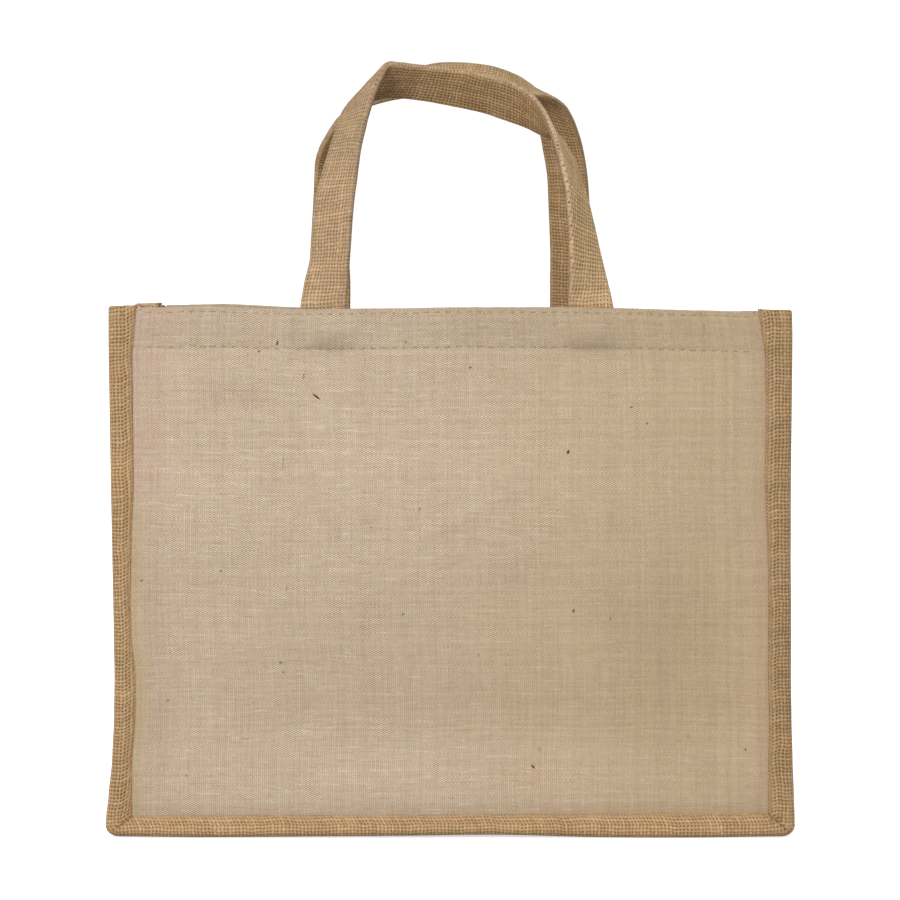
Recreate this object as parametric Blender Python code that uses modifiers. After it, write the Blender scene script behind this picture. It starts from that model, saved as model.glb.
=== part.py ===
"""An open-topped shopping bag: two jute-cotton panels sewn to one hessian gusset, with two band handles.

Lengths are in millimetres up to the last step, where a mesh is written in metres. +X runs along the
bag's width, -Y is the front and +Z is up. The origin is the middle of the base, on the surface that
the bag stands on.
"""

import math
from collections import namedtuple

import bmesh
import bpy
from mathutils import Vector

MM = 0.001

# Cloth and seams
PANEL_CLOTH = 1.4
GUSSET_CLOTH = 1.6
HANDLE_BAND = 3.8
HEM_LAYERS = 2
SEAM_GAP = 0.3
SEAM_ALLOWANCE = 8.0
PANEL_ROLL = 2.2
GUSSET_ROLL = 3.2
FOLD_ROLL = 3.8
RIM_ROLL = 0.7

# The bag as it stands
RIM_HEIGHT = 312.0
HEM_DEPTH = 23.0
GUSSET_STAND = 1.4
BOTTOM_SEAM_HEIGHT = 13.2
CORNER_ROUND = 8.0
FIRST_ROW = 3.0
CORNER_REACH = 32.0
BASE_BOW = 3.0
RIM_FADE_HEIGHT = 110.0
SIDE_PLEAT = 11.0
SIDE_DIP = 4.5
PLEAT_FADE_HEIGHT = 200.0
SWELL_FADE = 26.0
HANDLE_WIDTH = 28.0
HANDLE_CLEARANCE = 0.4

# How finely the cloth is divided
PANEL_COLUMNS = 24
ROW_HEIGHTS = (30, 46, 64, 86, 110, 136, 162, 188, 212, 234, 254, 272, 287.6, 288.8, 300, 311, 312)
SIDE_STEPS = 10
EDGE_STEPS = 7
CORNER_TURNS = (22.5, 45, 67.5)
BAND_STEPS = 4
STEPS_PER_SECTION = 2

Level = namedtuple(
    "Level", "height left_fold right_fold left_seam right_seam seam_depth fold_depth back_shift"
)
LEVELS = (
    Level(0, -204.0, 203.0, -189.4, 188.2, 73.0, 78.0, 0.0),
    Level(12, -203.6, 202.8, -189.2, 188.1, 73.4, 77.4, 0.0),
    Level(24, -202.2, 202.4, -189.0, 188.0, 74.0, 76.4, 0.0),
    Level(46, -200.0, 201.6, -188.4, 187.8, 74.4, 75.0, -0.2),
    Level(70, -198.8, 200.8, -187.0, 187.6, 74.4, 74.4, -0.4),
    Level(95, -198.2, 200.2, -185.6, 187.4, 74.6, 74.4, -0.6),
    Level(135, -198.4, 199.8, -187.8, 187.6, 75.4, 75.0, -0.9),
    Level(165, -198.6, 199.2, -187.6, 186.6, 76.0, 75.6, -1.2),
    Level(212, -199.0, 198.8, -186.7, 184.4, 76.0, 75.8, -1.5),
    Level(284, -199.6, 199.0, -186.0, 183.8, 74.8, 75.0, -1.9),
    Level(297, -199.6, 199.0, -184.8, 182.8, 74.4, 74.6, -2.0),
    Level(312, -199.5, 198.6, -183.6, 180.4, 74.0, 74.0, -2.0),
)

Rim = namedtuple("Rim", "x front back")
RIMS = (
    Rim(-200, 311.8, 311.4),
    Rim(-170, 312.4, 311.2),
    Rim(-146, 313.0, 310.8),
    Rim(-90, 311.4, 308.6),
    Rim(-30, 312.0, 307.6),
    Rim(5, 312.6, 307.2),
    Rim(63, 312.6, 306.6),
    Rim(98, 312.0, 306.2),
    Rim(144, 310.8, 305.6),
    Rim(176, 309.8, 305.4),
    Rim(200, 309.6, 305.2),
)

Swell = namedtuple("Swell", "name x z reach_x reach_z out")
FRONT_SWELLS = (
    Swell("belly", -20, 172, 170, 66, 6.5),
    Swell("upper right fullness", 60, 236, 70, 40, 1.2),
    Swell("lower hollow", 20, 66, 150, 34, -3.6),
    Swell("right hollow", 142, 128, 40, 60, -2.6),
    Swell("left edge hollow", -168, 118, 24, 60, -1.6),
    Swell("handle end, left", -75, 299, 17, 15, 1.3),
    Swell("handle end, right", 83, 299, 17, 15, 1.3),
)
BACK_SWELLS = (
    Swell("belly", 25, 168, 160, 70, 6.0),
    Swell("lower hollow", -30, 70, 150, 34, -3.0),
    Swell("left hollow", -140, 140, 45, 60, -2.0),
    Swell("rim sag", 20, 306, 120, 30, -1.5),
    Swell("handle end, left", -79, 296, 17, 15, 1.3),
    Swell("handle end, right", 77, 296, 17, 15, 1.3),
)

# Each handle is a band: its inner edge faces the other foot, its outer edge the bag's side.
Section = namedtuple("Section", "name inner_x inner_y inner_z outer_x outer_y outer_z")
FRONT_HANDLE = (
    Section("left foot", -61, -70, 288, -89, -70, 288),
    Section("left rim", -61, -70, 311, -88, -70, 311),
    Section("left leg, low", -60, -71, 325, -86, -64, 325),
    Section("left leg, low", -59, -73, 342, -82, -58, 342),
    Section("left leg, middle", -57, -72, 370, -80, -55, 369),
    Section("left leg, middle", -55, -69, 387, -76, -50, 388),
    Section("left leg, high", -53, -66, 404, -71, -45, 405),
    Section("left leg, high", -50, -62, 418, -67, -40, 418),
    Section("into the fold", -47, -59, 430, -64, -36, 426),
    Section("into the fold", -43, -55, 442, -62, -32, 429),
    Section("diagonal fold", -37, -50, 454, -59, -30, 432),
    Section("out of the fold", -30, -47, 455, -49, -28, 433),
    Section("out of the fold", -21, -45, 454, -36, -27, 436),
    Section("top", -9, -44, 453, -18, -26, 435),
    Section("top", 5, -44, 451, -1, -25, 432),
    Section("top", 23, -45, 446, 18, -25, 428),
    Section("shoulder", 36, -48, 441, 33, -27, 423),
    Section("shoulder", 46, -52, 434, 45, -28, 418),
    Section("shoulder", 52, -58, 425, 54, -32, 416),
    Section("right leg, high", 57, -65, 412, 63, -38, 410),
    Section("right leg, high", 62, -72, 397, 71, -46, 397),
    Section("right leg, middle", 66, -77, 381, 78, -52, 381),
    Section("right leg, middle", 68, -79, 365, 83, -55, 365),
    Section("right leg, low", 69, -78, 346, 87, -58, 346),
    Section("right leg, low", 69, -75, 328, 91, -61, 328),
    Section("right rim", 68, -70, 311, 95, -70, 311),
    Section("right foot", 69, -70, 288, 96, -70, 288),
)
BACK_HANDLE = (
    Section("left foot", -64, 68, 283, -92, 68, 283),
    Section("left rim", -64, 68, 308, -92, 68, 308),
    Section("left leg, low", -64, 70, 324, -91, 65, 324),
    Section("left leg, low", -65, 72, 342, -89, 60, 342),
    Section("left leg, middle", -66, 73, 365, -88, 56, 365),
    Section("left leg, middle", -67, 72, 384, -87, 53, 383),
    Section("left leg, high", -66, 70, 400, -86, 50, 399),
    Section("into the fold", -62, 68, 415, -82, 47, 407),
    Section("into the fold", -57, 64, 429, -78, 45, 414),
    Section("diagonal fold", -47, 58, 445, -69, 42, 427),
    Section("out of the fold", -34, 54, 455, -56, 39, 434),
    Section("out of the fold", -21, 51, 459, -37, 36, 439),
    Section("top", -7, 50, 462, -17, 33, 441),
    Section("top", 9, 50, 462, 4, 31, 441),
    Section("top", 26, 50, 460, 23, 31, 440),
    Section("shoulder", 40, 52, 456, 38, 30, 439),
    Section("into the fold", 48, 53, 451, 52, 30, 438),
    Section("into the fold", 52, 55, 447, 63, 31, 438),
    Section("diagonal fold", 54, 57, 441, 71, 35, 435),
    Section("out of the fold", 54, 58, 432, 74, 39, 427),
    Section("right leg, high", 58, 60, 411, 81, 43, 411),
    Section("right leg, middle", 61, 60, 393, 85, 45, 393),
    Section("right leg, middle", 62, 62, 372, 87, 49, 372),
    Section("right leg, low", 63, 65, 346, 89, 56, 346),
    Section("right leg, low", 63, 67, 327, 90, 61, 327),
    Section("right rim", 63, 68, 308, 91, 68, 308),
    Section("right foot", 63, 68, 283, 91, 68, 283),
)

# Colour as linear RGB, with how rough the yarn is
JUCO = ("juco", (0.54, 0.41, 0.29), 0.85)
HESSIAN = ("hessian", (0.40, 0.26, 0.13), 0.9)
HANDLE_WEB = ("handle_web", (0.45, 0.30, 0.17), 0.9)

FRONT = -1
BACK = 1


# ---------------------------------------------------------------- reading the tables


def blend(start, end, share):
    return start + (end - start) * share


def ease(share):
    """0 to 1, leaving and arriving level."""
    share = min(max(share, 0.0), 1.0)
    return share * share * (3.0 - 2.0 * share)


def spline(before, start, end, after, share):
    """A point on the Catmull-Rom curve from start to end."""
    square = share * share
    cube = square * share
    return 0.5 * (
        2.0 * start
        + (end - before) * share
        + (2.0 * before - 5.0 * start + 4.0 * end - after) * square
        + (3.0 * start - before - 3.0 * end + after) * cube
    )


def read(table, column, place):
    """A column's value at a place given by the table's first column, eased between its rows."""
    places = [row[0] for row in table]
    if place <= places[0]:
        return getattr(table[0], column)
    for low, high in zip(table, table[1:]):
        if place <= high[0]:
            share = (place - low[0]) / (high[0] - low[0])
            return blend(getattr(low, column), getattr(high, column), ease(share) * 0.5 + share * 0.5)
    return getattr(table[-1], column)


def rim_height(x, side):
    return read(RIMS, "front" if side == FRONT else "back", x)


def shift(height, side):
    """How far the back of the bag leans sideways from its front."""
    return read(LEVELS, "back_shift", height) if side == BACK else 0.0


def lifted(height, x, side):
    """A row's height once the rim's own rise and fall is spread over the cloth below it."""
    fade = ease(1.0 - (RIM_HEIGHT - height) / RIM_FADE_HEIGHT)
    return height + (rim_height(x, side) - RIM_HEIGHT) * fade


# ---------------------------------------------------------------- the panels' faces


def swell(x, z, side):
    """How far a panel stands out from the plane of its seams."""
    total = 0.0
    for fold in FRONT_SWELLS if side == FRONT else BACK_SWELLS:
        across = (x - fold.x) / fold.reach_x
        up = (z - fold.z) / fold.reach_z
        total += fold.out * math.exp(-across * across - up * up)
    near_seam = min(x - read(LEVELS, "left_seam", z), read(LEVELS, "right_seam", z) - x)
    above_seam = z - BOTTOM_SEAM_HEIGHT
    return total * ease(near_seam / SWELL_FADE) * ease(above_seam / SWELL_FADE)


def panel_depth(x, z, side):
    """Y of a panel's outer surface."""
    return side * (read(LEVELS, "seam_depth", z) + swell(x, z, side))


def panel_columns():
    """Where the panel's columns stand, as shares of its width, with a narrow one beside each seam."""
    narrow = FIRST_ROW / (LEVELS[0].right_seam - LEVELS[0].left_seam)
    inner = [blend(narrow, 1.0 - narrow, i / (PANEL_COLUMNS - 2)) for i in range(PANEL_COLUMNS - 1)]
    return [0.0, *inner, 1.0]


def panel_rows():
    return [BOTTOM_SEAM_HEIGHT, BOTTOM_SEAM_HEIGHT + FIRST_ROW, *ROW_HEIGHTS]


def panel_point(share, height, side):
    """A point of the panel's outer surface, inside the rolls at its seams."""
    inset = SEAM_GAP / 2 + PANEL_ROLL
    left = read(LEVELS, "left_seam", height) + inset
    right = read(LEVELS, "right_seam", height) - inset
    x = blend(left, right, share) + shift(height, side)
    z = lifted(height, x, side)
    if height == BOTTOM_SEAM_HEIGHT:
        z += inset
    elif height == BOTTOM_SEAM_HEIGHT + FIRST_ROW:
        z += inset / 2
    y = panel_depth(x, z, side)
    if height == RIM_HEIGHT:
        y -= side * RIM_ROLL
    return Vector((x, y, z))


# ---------------------------------------------------------------- mesh helpers


def clear_scene():
    for obj in list(bpy.data.objects):
        bpy.data.objects.remove(obj, do_unlink=True)


def make_material(name, colour, roughness):
    material = bpy.data.materials.new(name)
    material.use_nodes = True
    shader = material.node_tree.nodes["Principled BSDF"]
    shader.inputs["Base Color"].default_value = (*colour, 1.0)
    shader.inputs["Roughness"].default_value = roughness
    shader.inputs["Metallic"].default_value = 0.0
    material.diffuse_color = (*colour, 1.0)
    return material


def place_grid(bm, columns, rows, place):
    """A grid whose vertex at (column, row) lies where place says, with the vertices by column and row."""
    bmesh.ops.create_grid(bm, x_segments=columns, y_segments=rows, size=1.0)
    vertices = {}
    for vertex in bm.verts:
        column = round((vertex.co.x + 1.0) / 2.0 * columns)
        row = round((vertex.co.y + 1.0) / 2.0 * rows)
        vertices[column, row] = vertex
    for (column, row), vertex in vertices.items():
        vertex.co = place(column, row)
    return vertices


def add_object(name, bm, material, collection, flip):
    """Writes the sheet in metres, facing out, as an object of its own."""
    if flip:
        bmesh.ops.reverse_faces(bm, faces=bm.faces)
    bmesh.ops.scale(bm, vec=(MM, MM, MM), verts=bm.verts)
    mesh = bpy.data.meshes.new(name)
    bm.to_mesh(mesh)
    bm.free()
    mesh.materials.append(material)
    mesh.shade_smooth()
    obj = bpy.data.objects.new(name, mesh)
    collection.objects.link(obj)
    return obj


def thicken(obj, thickness, offset, layers=None):
    """Gives a sheet its thickness; layers maps a vertex's index to how many layers of cloth lie there."""
    solidify = obj.modifiers.new("cloth thickness", "SOLIDIFY")
    solidify.thickness = thickness * MM
    solidify.offset = offset
    solidify.use_even_offset = True
    solidify.use_quality_normals = True
    if layers:
        most = max(layers.values())
        solidify.thickness *= most
        group = obj.vertex_groups.new(name="layers")
        for index, count in layers.items():
            group.add([index], count / most, "REPLACE")
        solidify.vertex_group = group.name
        solidify.thickness_vertex_group = 0.0


# ---------------------------------------------------------------- panels


def turn_in(bm, edges, outward, reach, depth):
    """Extrudes a sheet's edge out by reach and back by depth.

    outward gives each edge vertex's way out in the sheet. The new edge comes back with the same.
    """
    made = bmesh.ops.extrude_edge_only(bm, edges=edges)["geom"]
    ring = {}
    for vertex in made:
        if isinstance(vertex, bmesh.types.BMVert):
            neighbours = [edge.other_vert(vertex) for edge in vertex.link_edges]
            ring[vertex] = next(outward[source] for source in neighbours if source in outward)
    for vertex, way in ring.items():
        vertex.co += Vector((way[0] * reach, depth, way[1] * reach))
    new_edges = [item for item in made if isinstance(item, bmesh.types.BMEdge)]
    return [edge for edge in new_edges if edge.verts[0] in ring and edge.verts[1] in ring], ring


def build_panel(name, side, material, collection):
    """One panel: its face, a doubled hem at the rim, and edges rolled into the seams on three sides."""
    columns = panel_columns()
    rows = panel_rows()
    last_column = len(columns) - 1
    last_row = len(rows) - 1
    bm = bmesh.new()

    def place(column, row):
        return panel_point(columns[column], rows[row], side)

    grid = place_grid(bm, last_column, last_row, place)
    hem_start = RIM_HEIGHT - HEM_DEPTH - 0.5
    doubled = set()
    for (column, row), vertex in grid.items():
        if rows[row] > hem_start and 0 < column < last_column:
            doubled.add(vertex)

    outward = {}
    for (column, row), vertex in grid.items():
        sideways = (column == last_column) - (column == 0)
        down = -1 if row == 0 else 0
        if sideways or down:
            outward[vertex] = (sideways, down)
    free_edges = [edge for edge in bm.edges if edge.is_boundary]
    border = [edge for edge in free_edges if edge.verts[0] in outward and edge.verts[1] in outward]

    half = math.sin(math.radians(45))
    inwards = -side
    border, ring = turn_in(bm, border, outward, PANEL_ROLL * half, inwards * PANEL_ROLL * (1 - half))
    border, ring = turn_in(bm, border, ring, PANEL_ROLL * (1 - half), inwards * PANEL_ROLL * half)
    turn_in(bm, border, ring, 0.0, inwards * SEAM_ALLOWANCE)

    bm.verts.index_update()
    layers = {v.index: HEM_LAYERS if v in doubled else 1 for v in bm.verts}
    obj = add_object(name, bm, material, collection, flip=side == BACK)
    thicken(obj, PANEL_CLOTH, -1.0, layers)
    return obj


# ---------------------------------------------------------------- gusset

Station = namedtuple("Station", "height seam_x seam_z seam_way fold_x fold_z fold_way bow")


def seams_and_folds(way):
    """The table's columns for the left side or the right side."""
    return ("left_seam", "left_fold") if way < 0 else ("right_seam", "right_fold")


def side_station(height, way):
    """The gusset's line across one side of the bag, level with one of the panels' rows."""
    seam, fold = seams_and_folds(way)
    first = BOTTOM_SEAM_HEIGHT + FIRST_ROW
    share = (height - first) / CORNER_REACH
    fold_z = blend(CORNER_ROUND, first + CORNER_REACH, share) if share < 1.0 else height
    seam_z = height + (PANEL_ROLL / 2 if height == first else 0.0)
    outward = Vector((way, 0, 0))
    return Station(
        height, read(LEVELS, seam, height), seam_z, outward, read(LEVELS, fold, fold_z), fold_z, outward, 0.0
    )


def corner_station(way, turn):
    """A line near the mitre at a lower corner, turned by degrees from the side (0) to the base (90)."""
    seam, fold = seams_and_folds(way)
    angle = math.radians(turn)
    fold_way = Vector((way * math.cos(angle), 0, -math.sin(angle)))
    toward_side = max(0.0, 1.0 - turn / 45) * FIRST_ROW / 2
    toward_base = max(0.0, turn / 45 - 1.0) * FIRST_ROW / 2
    seam_way = Vector((way if turn <= 45 else 0, 0, -1 if turn >= 45 else 0))
    return Station(
        0.0,
        read(LEVELS, seam, BOTTOM_SEAM_HEIGHT) - way * toward_base,
        BOTTOM_SEAM_HEIGHT + toward_side,
        seam_way,
        read(LEVELS, fold, 0) - way * CORNER_ROUND + fold_way.x * CORNER_ROUND,
        CORNER_ROUND + fold_way.z * CORNER_ROUND,
        fold_way,
        0.0,
    )


def base_station(share):
    """The gusset's line across the base, in line with one of the panels' columns."""
    way = -1 if share < 0.5 else 1
    seam, fold = seams_and_folds(way)
    inset = SEAM_GAP / 2 + PANEL_ROLL
    left = read(LEVELS, "left_seam", BOTTOM_SEAM_HEIGHT) + inset
    right = read(LEVELS, "right_seam", BOTTOM_SEAM_HEIGHT) - inset
    x = blend(left, right, share)
    run = min(x - left, right - x)
    end = left if way < 0 else right
    fold_end = read(LEVELS, fold, 0) - way * CORNER_ROUND
    joined = end - way * (FIRST_ROW + CORNER_REACH)
    reached = (run - FIRST_ROW) / CORNER_REACH
    fold_x = blend(fold_end, joined, reached) if reached < 1.0 else x
    bow = BASE_BOW * math.sin(math.pi * share)
    down = Vector((0, 0, -1))
    return Station(0.0, x, BOTTOM_SEAM_HEIGHT, down, fold_x, 0.0, down, bow)


def gusset_stations():
    """The lines across the strip, from its left hem down, along the base and up to its right hem."""
    heights = panel_rows()[1:]
    return [
        *[side_station(height, -1) for height in reversed(heights)],
        *[corner_station(-1, turn) for turn in CORNER_TURNS],
        *[base_station(share) for share in panel_columns()[1:-1]],
        *[corner_station(1, turn) for turn in reversed(CORNER_TURNS)],
        *[side_station(height, 1) for height in heights],
    ]


def gusset_edge(station, side):
    """One sewn edge of the strip, from the end of its seam allowance to where the body's side begins."""
    half = math.sin(math.radians(45))
    panel_end = max(station.seam_z, BOTTOM_SEAM_HEIGHT + SEAM_GAP / 2 + PANEL_ROLL)
    seam_depth = read(LEVELS, "seam_depth", panel_end)
    fold_depth = read(LEVELS, "fold_depth", station.fold_z) + station.bow
    seam = Vector((station.seam_x + shift(station.height, side), 0, station.seam_z))
    fold = Vector((station.fold_x + shift(station.height, side), 0, station.fold_z))
    depth = Vector((0, side, 0))
    turned = seam + station.seam_way * (SEAM_GAP / 2) + depth * (seam_depth - GUSSET_ROLL)
    rolled = turned + station.seam_way * GUSSET_ROLL + depth * GUSSET_ROLL
    flat = fold - station.fold_way * FOLD_ROLL + depth * fold_depth
    beyond = fold + depth * (fold_depth - FOLD_ROLL)
    return [
        turned - depth * SEAM_ALLOWANCE,
        turned,
        turned + station.seam_way * GUSSET_ROLL * (1 - half) + depth * GUSSET_ROLL * half,
        rolled,
        (rolled + flat) / 2,
        flat,
        flat + station.fold_way * FOLD_ROLL * half - depth * FOLD_ROLL * (1 - half),
        beyond,
    ]


def gusset_line(station):
    """All points across the strip at a station, from the front panel's seam to the back panel's."""
    front = gusset_edge(station, FRONT)
    back = gusset_edge(station, BACK)
    pleat = SIDE_PLEAT * ease(station.height / PLEAT_FADE_HEIGHT)
    near_rim = ease(1.0 - (RIM_HEIGHT - station.height) / RIM_FADE_HEIGHT)
    middle = []
    for i in range(1, SIDE_STEPS):
        share = i / SIDE_STEPS
        crease = 0.5 - 0.5 * math.cos(2 * math.pi * share)
        point = front[-1].lerp(back[-1], share) - station.fold_way * pleat * crease
        point.z -= SIDE_DIP * near_rim * crease
        middle.append(point)
    points = [*front, *middle, *reversed(back)]
    for point in points:
        share = ease((point.y + LEVELS[-1].fold_depth) / (2 * LEVELS[-1].fold_depth))
        rim = blend(rim_height(point.x, FRONT), rim_height(point.x, BACK), share)
        point.z += (rim - RIM_HEIGHT + GUSSET_STAND) * near_rim
    return points


def build_gusset(name, material, collection):
    """The strip that makes both sides and the base, hemmed at its two ends."""
    stations = gusset_stations()
    lines = [gusset_line(station) for station in stations]
    bm = bmesh.new()

    def place(column, row):
        return lines[row][column]

    grid = place_grid(bm, len(lines[0]) - 1, len(lines) - 1, place)
    hem_start = RIM_HEIGHT - HEM_DEPTH - 0.5
    first_fold = EDGE_STEPS - 2
    last_fold = len(lines[0]) - 1 - first_fold
    hemmed = set()
    for (column, row), vertex in grid.items():
        if stations[row].height > hem_start and first_fold <= column <= last_fold:
            hemmed.add(vertex)
    bm.verts.index_update()
    layers = {v.index: HEM_LAYERS if v in hemmed else 1 for v in bm.verts}
    obj = add_object(name, bm, material, collection, flip=False)
    thicken(obj, GUSSET_CLOTH, -1.0, layers)
    return obj


# ---------------------------------------------------------------- handles


def band_edges(sections, position):
    """The inner and outer edge of a band at a position counted in sections."""
    index = min(int(position), len(sections) - 2)
    share = position - index
    around = [sections[min(max(index + step, 0), len(sections) - 1)] for step in (-1, 0, 1, 2)]
    inner = [Vector((s.inner_x, s.inner_y, s.inner_z)) for s in around]
    outer = [Vector((s.outer_x, s.outer_y, s.outer_z)) for s in around]
    return spline(*inner, share), spline(*outer, share)


def behind_hem(point, side):
    """Keeps a foot of the band against the inside of the hem, up to the rim."""
    rim = rim_height(point.x, side)
    if point.z > rim + 1.0:
        return point
    hem_inside = panel_depth(point.x, min(point.z, RIM_HEIGHT), side)
    lining = HEM_LAYERS * PANEL_CLOTH + HANDLE_CLEARANCE + HANDLE_BAND / 2
    return Vector((point.x, hem_inside - side * lining, point.z))


def build_handle(name, sections, side, material, collection):
    """A flat band of folded hessian, sewn by both feet to the inside of a panel's hem."""
    steps = (len(sections) - 1) * STEPS_PER_SECTION
    bm = bmesh.new()

    def place(column, row):
        inner, outer = band_edges(sections, row / STEPS_PER_SECTION)
        return behind_hem(inner.lerp(outer, column / BAND_STEPS), side)

    place_grid(bm, BAND_STEPS, steps, place)
    obj = add_object(name, bm, material, collection, flip=False)
    thicken(obj, HANDLE_BAND, 0.0)
    edges = obj.modifiers.new("rounded folds", "BEVEL")
    edges.width = 0.9 * MM
    edges.segments = 1
    edges.limit_method = "ANGLE"
    edges.angle_limit = math.radians(60)
    return obj


# ---------------------------------------------------------------- the bag


def build_bag():
    clear_scene()
    collection = bpy.data.collections.new("burlap_bag")
    bpy.context.scene.collection.children.link(collection)
    juco = make_material(*JUCO)
    hessian = make_material(*HESSIAN)
    handle_web = make_material(*HANDLE_WEB)
    build_panel("front_panel", FRONT, juco, collection)
    build_panel("back_panel", BACK, juco, collection)
    build_gusset("gusset", hessian, collection)
    build_handle("front_handle", FRONT_HANDLE, FRONT, handle_web, collection)
    build_handle("back_handle", BACK_HANDLE, BACK, handle_web, collection)


build_bag()
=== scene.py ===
"""Dresses the burlap bag: two juco panels, a hessian gusset and two folded hessian handles.

Lengths inside this file are in millimetres up to the last step, where a mesh is written in metres.
+X runs along the bag's width, -Y is the front and +Z is up.
"""

import math
import random
from collections import namedtuple

import bmesh
import bpy
from bpy.props import FloatProperty, FloatVectorProperty, IntProperty, PointerProperty
from bpy.types import Operator, Panel, PropertyGroup
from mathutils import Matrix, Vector, noise


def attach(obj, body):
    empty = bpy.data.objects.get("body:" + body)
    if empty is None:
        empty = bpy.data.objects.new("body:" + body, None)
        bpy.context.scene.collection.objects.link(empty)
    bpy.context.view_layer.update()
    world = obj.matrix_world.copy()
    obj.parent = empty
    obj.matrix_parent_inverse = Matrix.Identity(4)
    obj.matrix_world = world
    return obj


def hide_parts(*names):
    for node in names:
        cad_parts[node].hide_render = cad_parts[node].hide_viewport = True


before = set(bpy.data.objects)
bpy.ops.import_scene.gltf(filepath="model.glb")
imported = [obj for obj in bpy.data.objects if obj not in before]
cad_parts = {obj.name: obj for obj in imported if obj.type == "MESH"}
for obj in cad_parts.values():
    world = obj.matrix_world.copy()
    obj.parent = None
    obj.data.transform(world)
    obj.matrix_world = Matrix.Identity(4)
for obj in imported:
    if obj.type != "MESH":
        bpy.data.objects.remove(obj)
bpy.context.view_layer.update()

bl_info = {
    "name": "Burlap Bag",
    "version": (1, 0, 0),
    "blender": (4, 5, 0),
    "location": "3D View > Sidebar > Bag",
    "description": "Builds an open shopping bag of juco and hessian round its packed model",
    "category": "Add Mesh",
}

MM = 0.001
FRONT = -1
BACK = 1

# Seams, folds and hems
SEAM_GAP = 0.3
SEAM_ALLOWANCE = 8.0
PANEL_ROLL = 0.6
GUSSET_ROLL = 1.8
ROLL_OVER = 0.9
ROLL_PROUD = -1.5
SEAM_DIP = 0.8
DIP_REACH = 6.5
SEAM_TILT = 0.8
TILT_HALF_WIDTH = 190.0
TILT_FADE_HEIGHT = 50.0
MERGE_DISTANCE = 0.02
FOLD_ROLL = 3.8
HEM_LAYERS = 2
HEM_GAP = 0.15
HANDLE_CLEARANCE = 0.3
HANDLE_WIDTH = 28.0
HALF_BAND = HANDLE_WIDTH / 2
LAYER_SLACK = 0.1
CREASE_FADE = 0.25

# The bag as it stands
RIM_HEIGHT = 312.0
HEM_DEPTH = 24.0
GUSSET_STAND = 1.4
BOTTOM_SEAM_HEIGHT = 12.5
CORNER_ROUND = 8.0
FIRST_ROW = 3.0
CORNER_REACH = 32.0
BASE_BOW = 1.0
RIM_FADE_HEIGHT = 110.0
SIDE_PLEAT = 11.0
SIDE_DIP = 4.5
PLEAT_FADE_HEIGHT = 200.0
SWELL_FADE = 26.0

# Where the hem's two rows of stitches run, below the rim, and how they draw the cloth in
UPPER_ROW = 3.0
LOWER_ROW = 23.1
ROW_DIPS = ((UPPER_ROW, 0.30), (LOWER_ROW, 0.42))
ROW_DIP_WIDTH = 1.3
ROW_PUCKER = 0.13
HEM_LEDGE = 0.45


def rows_of(kind, *rows):
    """Rows of plain numbers under the column names of their kind."""
    return tuple(kind(*row) for row in rows)


Level = namedtuple(
    "Level", "height left_fold right_fold left_seam right_seam seam_depth fold_depth back_shift"
)
LEVELS = rows_of(
    Level,
    (0, -204.0, 203.0, -189.0, 188.0, 73.0, 78.0, 0.0),
    (12, -203.6, 202.8, -188.9, 187.9, 73.4, 77.4, 0.0),
    (24, -202.2, 202.4, -188.8, 187.8, 74.0, 76.4, 0.0),
    (46, -200.0, 201.6, -188.4, 187.6, 74.4, 75.0, -0.2),
    (70, -198.8, 200.8, -186.4, 187.8, 74.4, 74.4, -0.4),
    (95, -198.2, 200.2, -185.9, 186.9, 74.6, 74.4, -0.6),
    (118, -198.3, 200.0, -187.8, 186.7, 75.0, 74.7, -0.8),
    (140, -198.4, 199.7, -188.3, 186.6, 75.5, 75.1, -0.9),
    (165, -198.6, 199.2, -187.7, 186.0, 76.0, 75.6, -1.2),
    (212, -199.0, 198.8, -185.7, 183.7, 76.0, 75.8, -1.5),
    (250, -199.3, 198.9, -185.8, 184.1, 75.4, 75.4, -1.7),
    (284, -199.6, 199.0, -186.1, 183.5, 74.8, 75.0, -1.9),
    (297, -199.6, 199.0, -184.4, 181.7, 74.4, 74.6, -2.0),
    (312, -199.5, 198.6, -183.2, 179.2, 74.0, 74.0, -2.0),
)

Rim = namedtuple("Rim", "x front back")
RIMS = rows_of(
    Rim,
    (-200, 311.8, 310.7), (-170, 312.4, 311.2), (-146, 313.0, 311.8), (-90, 311.4, 309.3),
    (-30, 312.0, 308.0), (5, 312.6, 307.2), (63, 312.6, 306.6), (98, 312.0, 306.2),
    (144, 310.8, 305.6), (176, 309.8, 305.5), (200, 309.6, 305.8),
)

Swell = namedtuple("Swell", "x z reach_x reach_z out")
FRONT_SWELLS = rows_of(
    Swell,
    (-20, 172, 170, 66, 6.5),  # belly
    (60, 236, 70, 40, 1.2),  # upper right fullness
    (20, 66, 150, 34, -3.6),  # lower hollow
    (142, 128, 40, 60, -2.6),  # right hollow
    (-168, 118, 24, 60, -1.6),  # left edge hollow
    (-75, 297, 15, 9, 2.2),  # handle end, left
    (84, 297, 15, 9, 2.2),  # handle end, right
    (-75, 284, 17, 6, -0.8),  # below handle end, left
    (84, 284, 17, 6, -0.8),  # below handle end, right
)
BACK_SWELLS = rows_of(
    Swell,
    (25, 168, 160, 70, 6.0),  # belly
    (-30, 70, 150, 34, -3.0),  # lower hollow
    (-140, 140, 45, 60, -2.0),  # left hollow
    (20, 306, 120, 30, -1.5),  # rim sag
    (-79, 296, 17, 15, 1.3),  # handle end, left
    (77, 296, 17, 15, 1.3),  # handle end, right
)

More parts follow.
